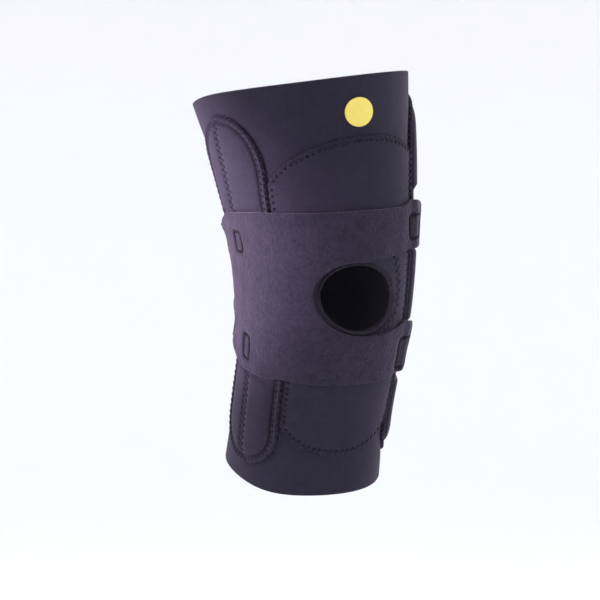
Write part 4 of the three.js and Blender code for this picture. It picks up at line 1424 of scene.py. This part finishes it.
def make_patch_finish():
    """Flexible print film: yellow with a slight mottle and a fine pebble."""
    material = bpy.data.materials.new("yellow_print_film")
    material.use_nodes = True
    tree = material.node_tree
    shader = tree.nodes["Principled BSDF"]
    here = add_node(tree, "ShaderNodeTexCoord")
    mottle = add_node(tree, "ShaderNodeTexNoise", Vector=here.outputs["Object"], Scale=260.0, Detail=4.0)
    tint = add_node(tree, "ShaderNodeMix", data_type="RGBA")
    tree.links.new(mottle.outputs["Fac"], tint.inputs[0])
    tint.inputs[6].default_value = (0.84, 0.66, 0.125, 1)
    tint.inputs[7].default_value = (0.92, 0.75, 0.165, 1)
    tree.links.new(tint.outputs[2], shader.inputs["Base Color"])
    pebble = add_node(tree, "ShaderNodeTexNoise", Vector=here.outputs["Object"], Scale=1400.0, Detail=2.0)
    bump = add_node(tree, "ShaderNodeBump", Strength=1.0, Distance=0.00005, Height=pebble.outputs["Fac"])
    tree.links.new(bump.outputs["Normal"], shader.inputs["Normal"])
    shader.inputs["Roughness"].default_value = 0.5
    return material


patch_finish = make_patch_finish()


def make_patch():
    """A square grid drawn out to a disc: each side shrinks with the square of the other.
    The worn cloth has stretched it a little round the leg."""
    rounded = np.array([0.0, 0.012, 0.03, 0.055])
    side = np.concatenate([-1 + rounded, np.linspace(-0.92, 0.92, 50), 1 - rounded[::-1]])
    u, v = np.meshgrid(side, side, indexing="ij")
    across = u * np.sqrt(1 - v**2 / 2)
    up = v * np.sqrt(1 - u**2 / 2)
    radius = PATCH_DIAMETER / 2
    scale = float(girth(PATCH_ANGLE, PATCH_HEIGHT))
    angle = (PATCH_ANGLE + PATCH_STRETCH * radius * across / scale).ravel()
    height = (PATCH_HEIGHT + PATCH_SHRINK * radius * up).ravel()
    from_rim = radius * (1 - np.hypot(across, up).ravel())
    faces = grid_faces(np.arange(u.size).reshape(u.shape), False)
    welded = np.exp(-(((from_rim - PATCH_BORDER["from_rim"]) / PATCH_BORDER["reach"]) ** 2))
    border = PATCH_BORDER["height"] * welded
    outside = (LAYER_GAP + PATCH_THICKNESS - PATCH_BORDER["height"] + border
               - rounding(from_rim, PATCH_ROUNDING))
    inside = np.full(len(angle), LAYER_GAP)
    return add_cloth("round_patch_film", patch_finish, angle, height, outside, inside,
                     faces, {})


patch = make_patch()
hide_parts("round_patch")

# Camera
# It stands at the photograph's angle, with the sleeve where the photograph has it.

CAMERA_AZIMUTH = -22
CAMERA_ELEVATION = 9
CAMERA_DISTANCE = 1.8
CAMERA_LENS = 135
CAMERA_SENSOR = 36
CAMERA_SHIFT = (-0.0433, -0.0312)


def towards(azimuth, elevation):
    """The direction of an azimuth and elevation, as the camera's are counted."""
    azimuth, elevation = np.radians([azimuth, elevation])
    return Vector((
        np.sin(azimuth) * np.cos(elevation),
        -np.cos(azimuth) * np.cos(elevation),
        np.sin(elevation),
    ))


camera = bpy.data.objects.new("camera", bpy.data.cameras.new("camera"))
bpy.context.scene.collection.objects.link(camera)
bpy.context.scene.camera = camera
towards_camera = towards(CAMERA_AZIMUTH, CAMERA_ELEVATION)
camera.location = CAMERA_DISTANCE * towards_camera
camera.rotation_mode = "QUATERNION"
camera.rotation_quaternion = towards_camera.to_track_quat("Z", "Y")
camera.data.lens = CAMERA_LENS
camera.data.sensor_width = CAMERA_SENSOR
camera.data.shift_x, camera.data.shift_y = CAMERA_SHIFT
camera.data.clip_end = 20

# Studio
# A pale bowl of paper surrounds the sleeve, which floats as on an unseen leg: a flat
# floor that curves up into a wall all round.

FLOOR_LEVEL = -0.75
FLOOR_RADIUS = 2.4
WALL_RADIUS = 3.4
WALL_TOP = 3.2


def make_studio():
    """Rings of the bowl, from a small disc in the floor's middle to the wall's top."""
    turn = np.radians(np.linspace(0, 360, 97))[:-1]
    bend = np.radians(np.linspace(0, 90, 14))
    curve = WALL_RADIUS - FLOOR_RADIUS
    reach = np.concatenate([np.linspace(0.3, FLOOR_RADIUS, 6)[:-1], FLOOR_RADIUS + curve * np.sin(bend),
                            [WALL_RADIUS]])
    level = FLOOR_LEVEL + np.concatenate([np.zeros(5), curve * (1 - np.cos(bend)), [WALL_TOP - FLOOR_LEVEL]])
    x = reach[None, :] * np.cos(turn)[:, None]
    y = reach[None, :] * np.sin(turn)[:, None]
    corners = np.stack([x, y, np.broadcast_to(level, x.shape)], axis=-1).reshape(-1, 3)
    ids = np.arange(x.size).reshape(x.shape)
    faces = [tuple(int(i) for i in face) for face in grid_faces(ids, True)]
    faces.append(tuple(int(i) for i in ids[::-1, 0]))
    mesh = bpy.data.meshes.new("studio")
    mesh.from_pydata(corners.tolist(), [], faces)
    mesh.polygons.foreach_set("use_smooth", np.ones(len(mesh.polygons), dtype=bool))
    paper = bpy.data.materials.new("studio_paper")
    paper.use_nodes = True
    shader = paper.node_tree.nodes["Principled BSDF"]
    shader.inputs["Base Color"].default_value = (0.90, 0.91, 0.93, 1)
    shader.inputs["Roughness"].default_value = 1.0
    shader.inputs["Specular IOR Level"].default_value = 0.0
    mesh.materials.append(paper)
    studio = bpy.data.objects.new("studio", mesh)
    bpy.context.scene.collection.objects.link(studio)


make_studio()

# Lights: each one's direction from the place it is aimed at, counted as the camera's is,
# its distance and size in metres, its power and its colour. One with a cone, in degrees, is
# a spot that fades near the cone's edge: it lights the outer side of the knee.
LIGHTS = [
    {"azimuth": -100, "elevation": 8, "distance": 1.0, "size": 0.40, "power": 3.6,
     "colour": (1.0, 0.92, 0.96), "aim": (0, 0, 0.018)},
    {"azimuth": -78, "elevation": 5, "distance": 1.0, "size": 0.06, "power": 96.0,
     "colour": (1.0, 0.77, 0.92), "aim": (-0.048, 0.045, 0.036), "cone": 13.9},
    {"azimuth": 92, "elevation": 12, "distance": 1.1, "size": 0.5, "power": 4.8,
     "colour": (1.0, 0.98, 1.0), "aim": (0, 0, 0.018)},
    {"azimuth": 158, "elevation": 35, "distance": 1.3, "size": 0.8, "power": 4.0,
     "colour": (1.0, 1.0, 1.0), "aim": (0, 0, 0.018)},
]
SPOT_BLEND = 0.26


def add_light(number, light):
    lamp = bpy.data.lights.new(f"soft_light_{number}", "SPOT" if "cone" in light else "AREA")
    if "cone" in light:
        lamp.shadow_soft_size = light["size"] / 2
        lamp.spot_size = np.radians(light["cone"])
        lamp.spot_blend = SPOT_BLEND
    else:
        lamp.shape = "DISK"
        lamp.size = light["size"]
    lamp.energy = light["power"]
    lamp.color = light["colour"]
    holder = bpy.data.objects.new(lamp.name, lamp)
    direction = towards(light["azimuth"], light["elevation"])
    holder.location = Vector(light["aim"]) + light["distance"] * direction
    holder.rotation_mode = "QUATERNION"
    holder.rotation_quaternion = direction.to_track_quat("Z", "Y")
    holder.visible_camera = False
    bpy.context.scene.collection.objects.link(holder)


for number, light in enumerate(LIGHTS):
    add_light(number, light)

world = bpy.data.worlds.new("studio_air")
bpy.context.scene.world = world
world.use_nodes = True
world.node_tree.nodes["Background"].inputs["Color"].default_value = (0.985, 0.985, 0.99, 1)
world.node_tree.nodes["Background"].inputs["Strength"].default_value = 1.36
bpy.context.scene.view_settings.view_transform = "Standard"
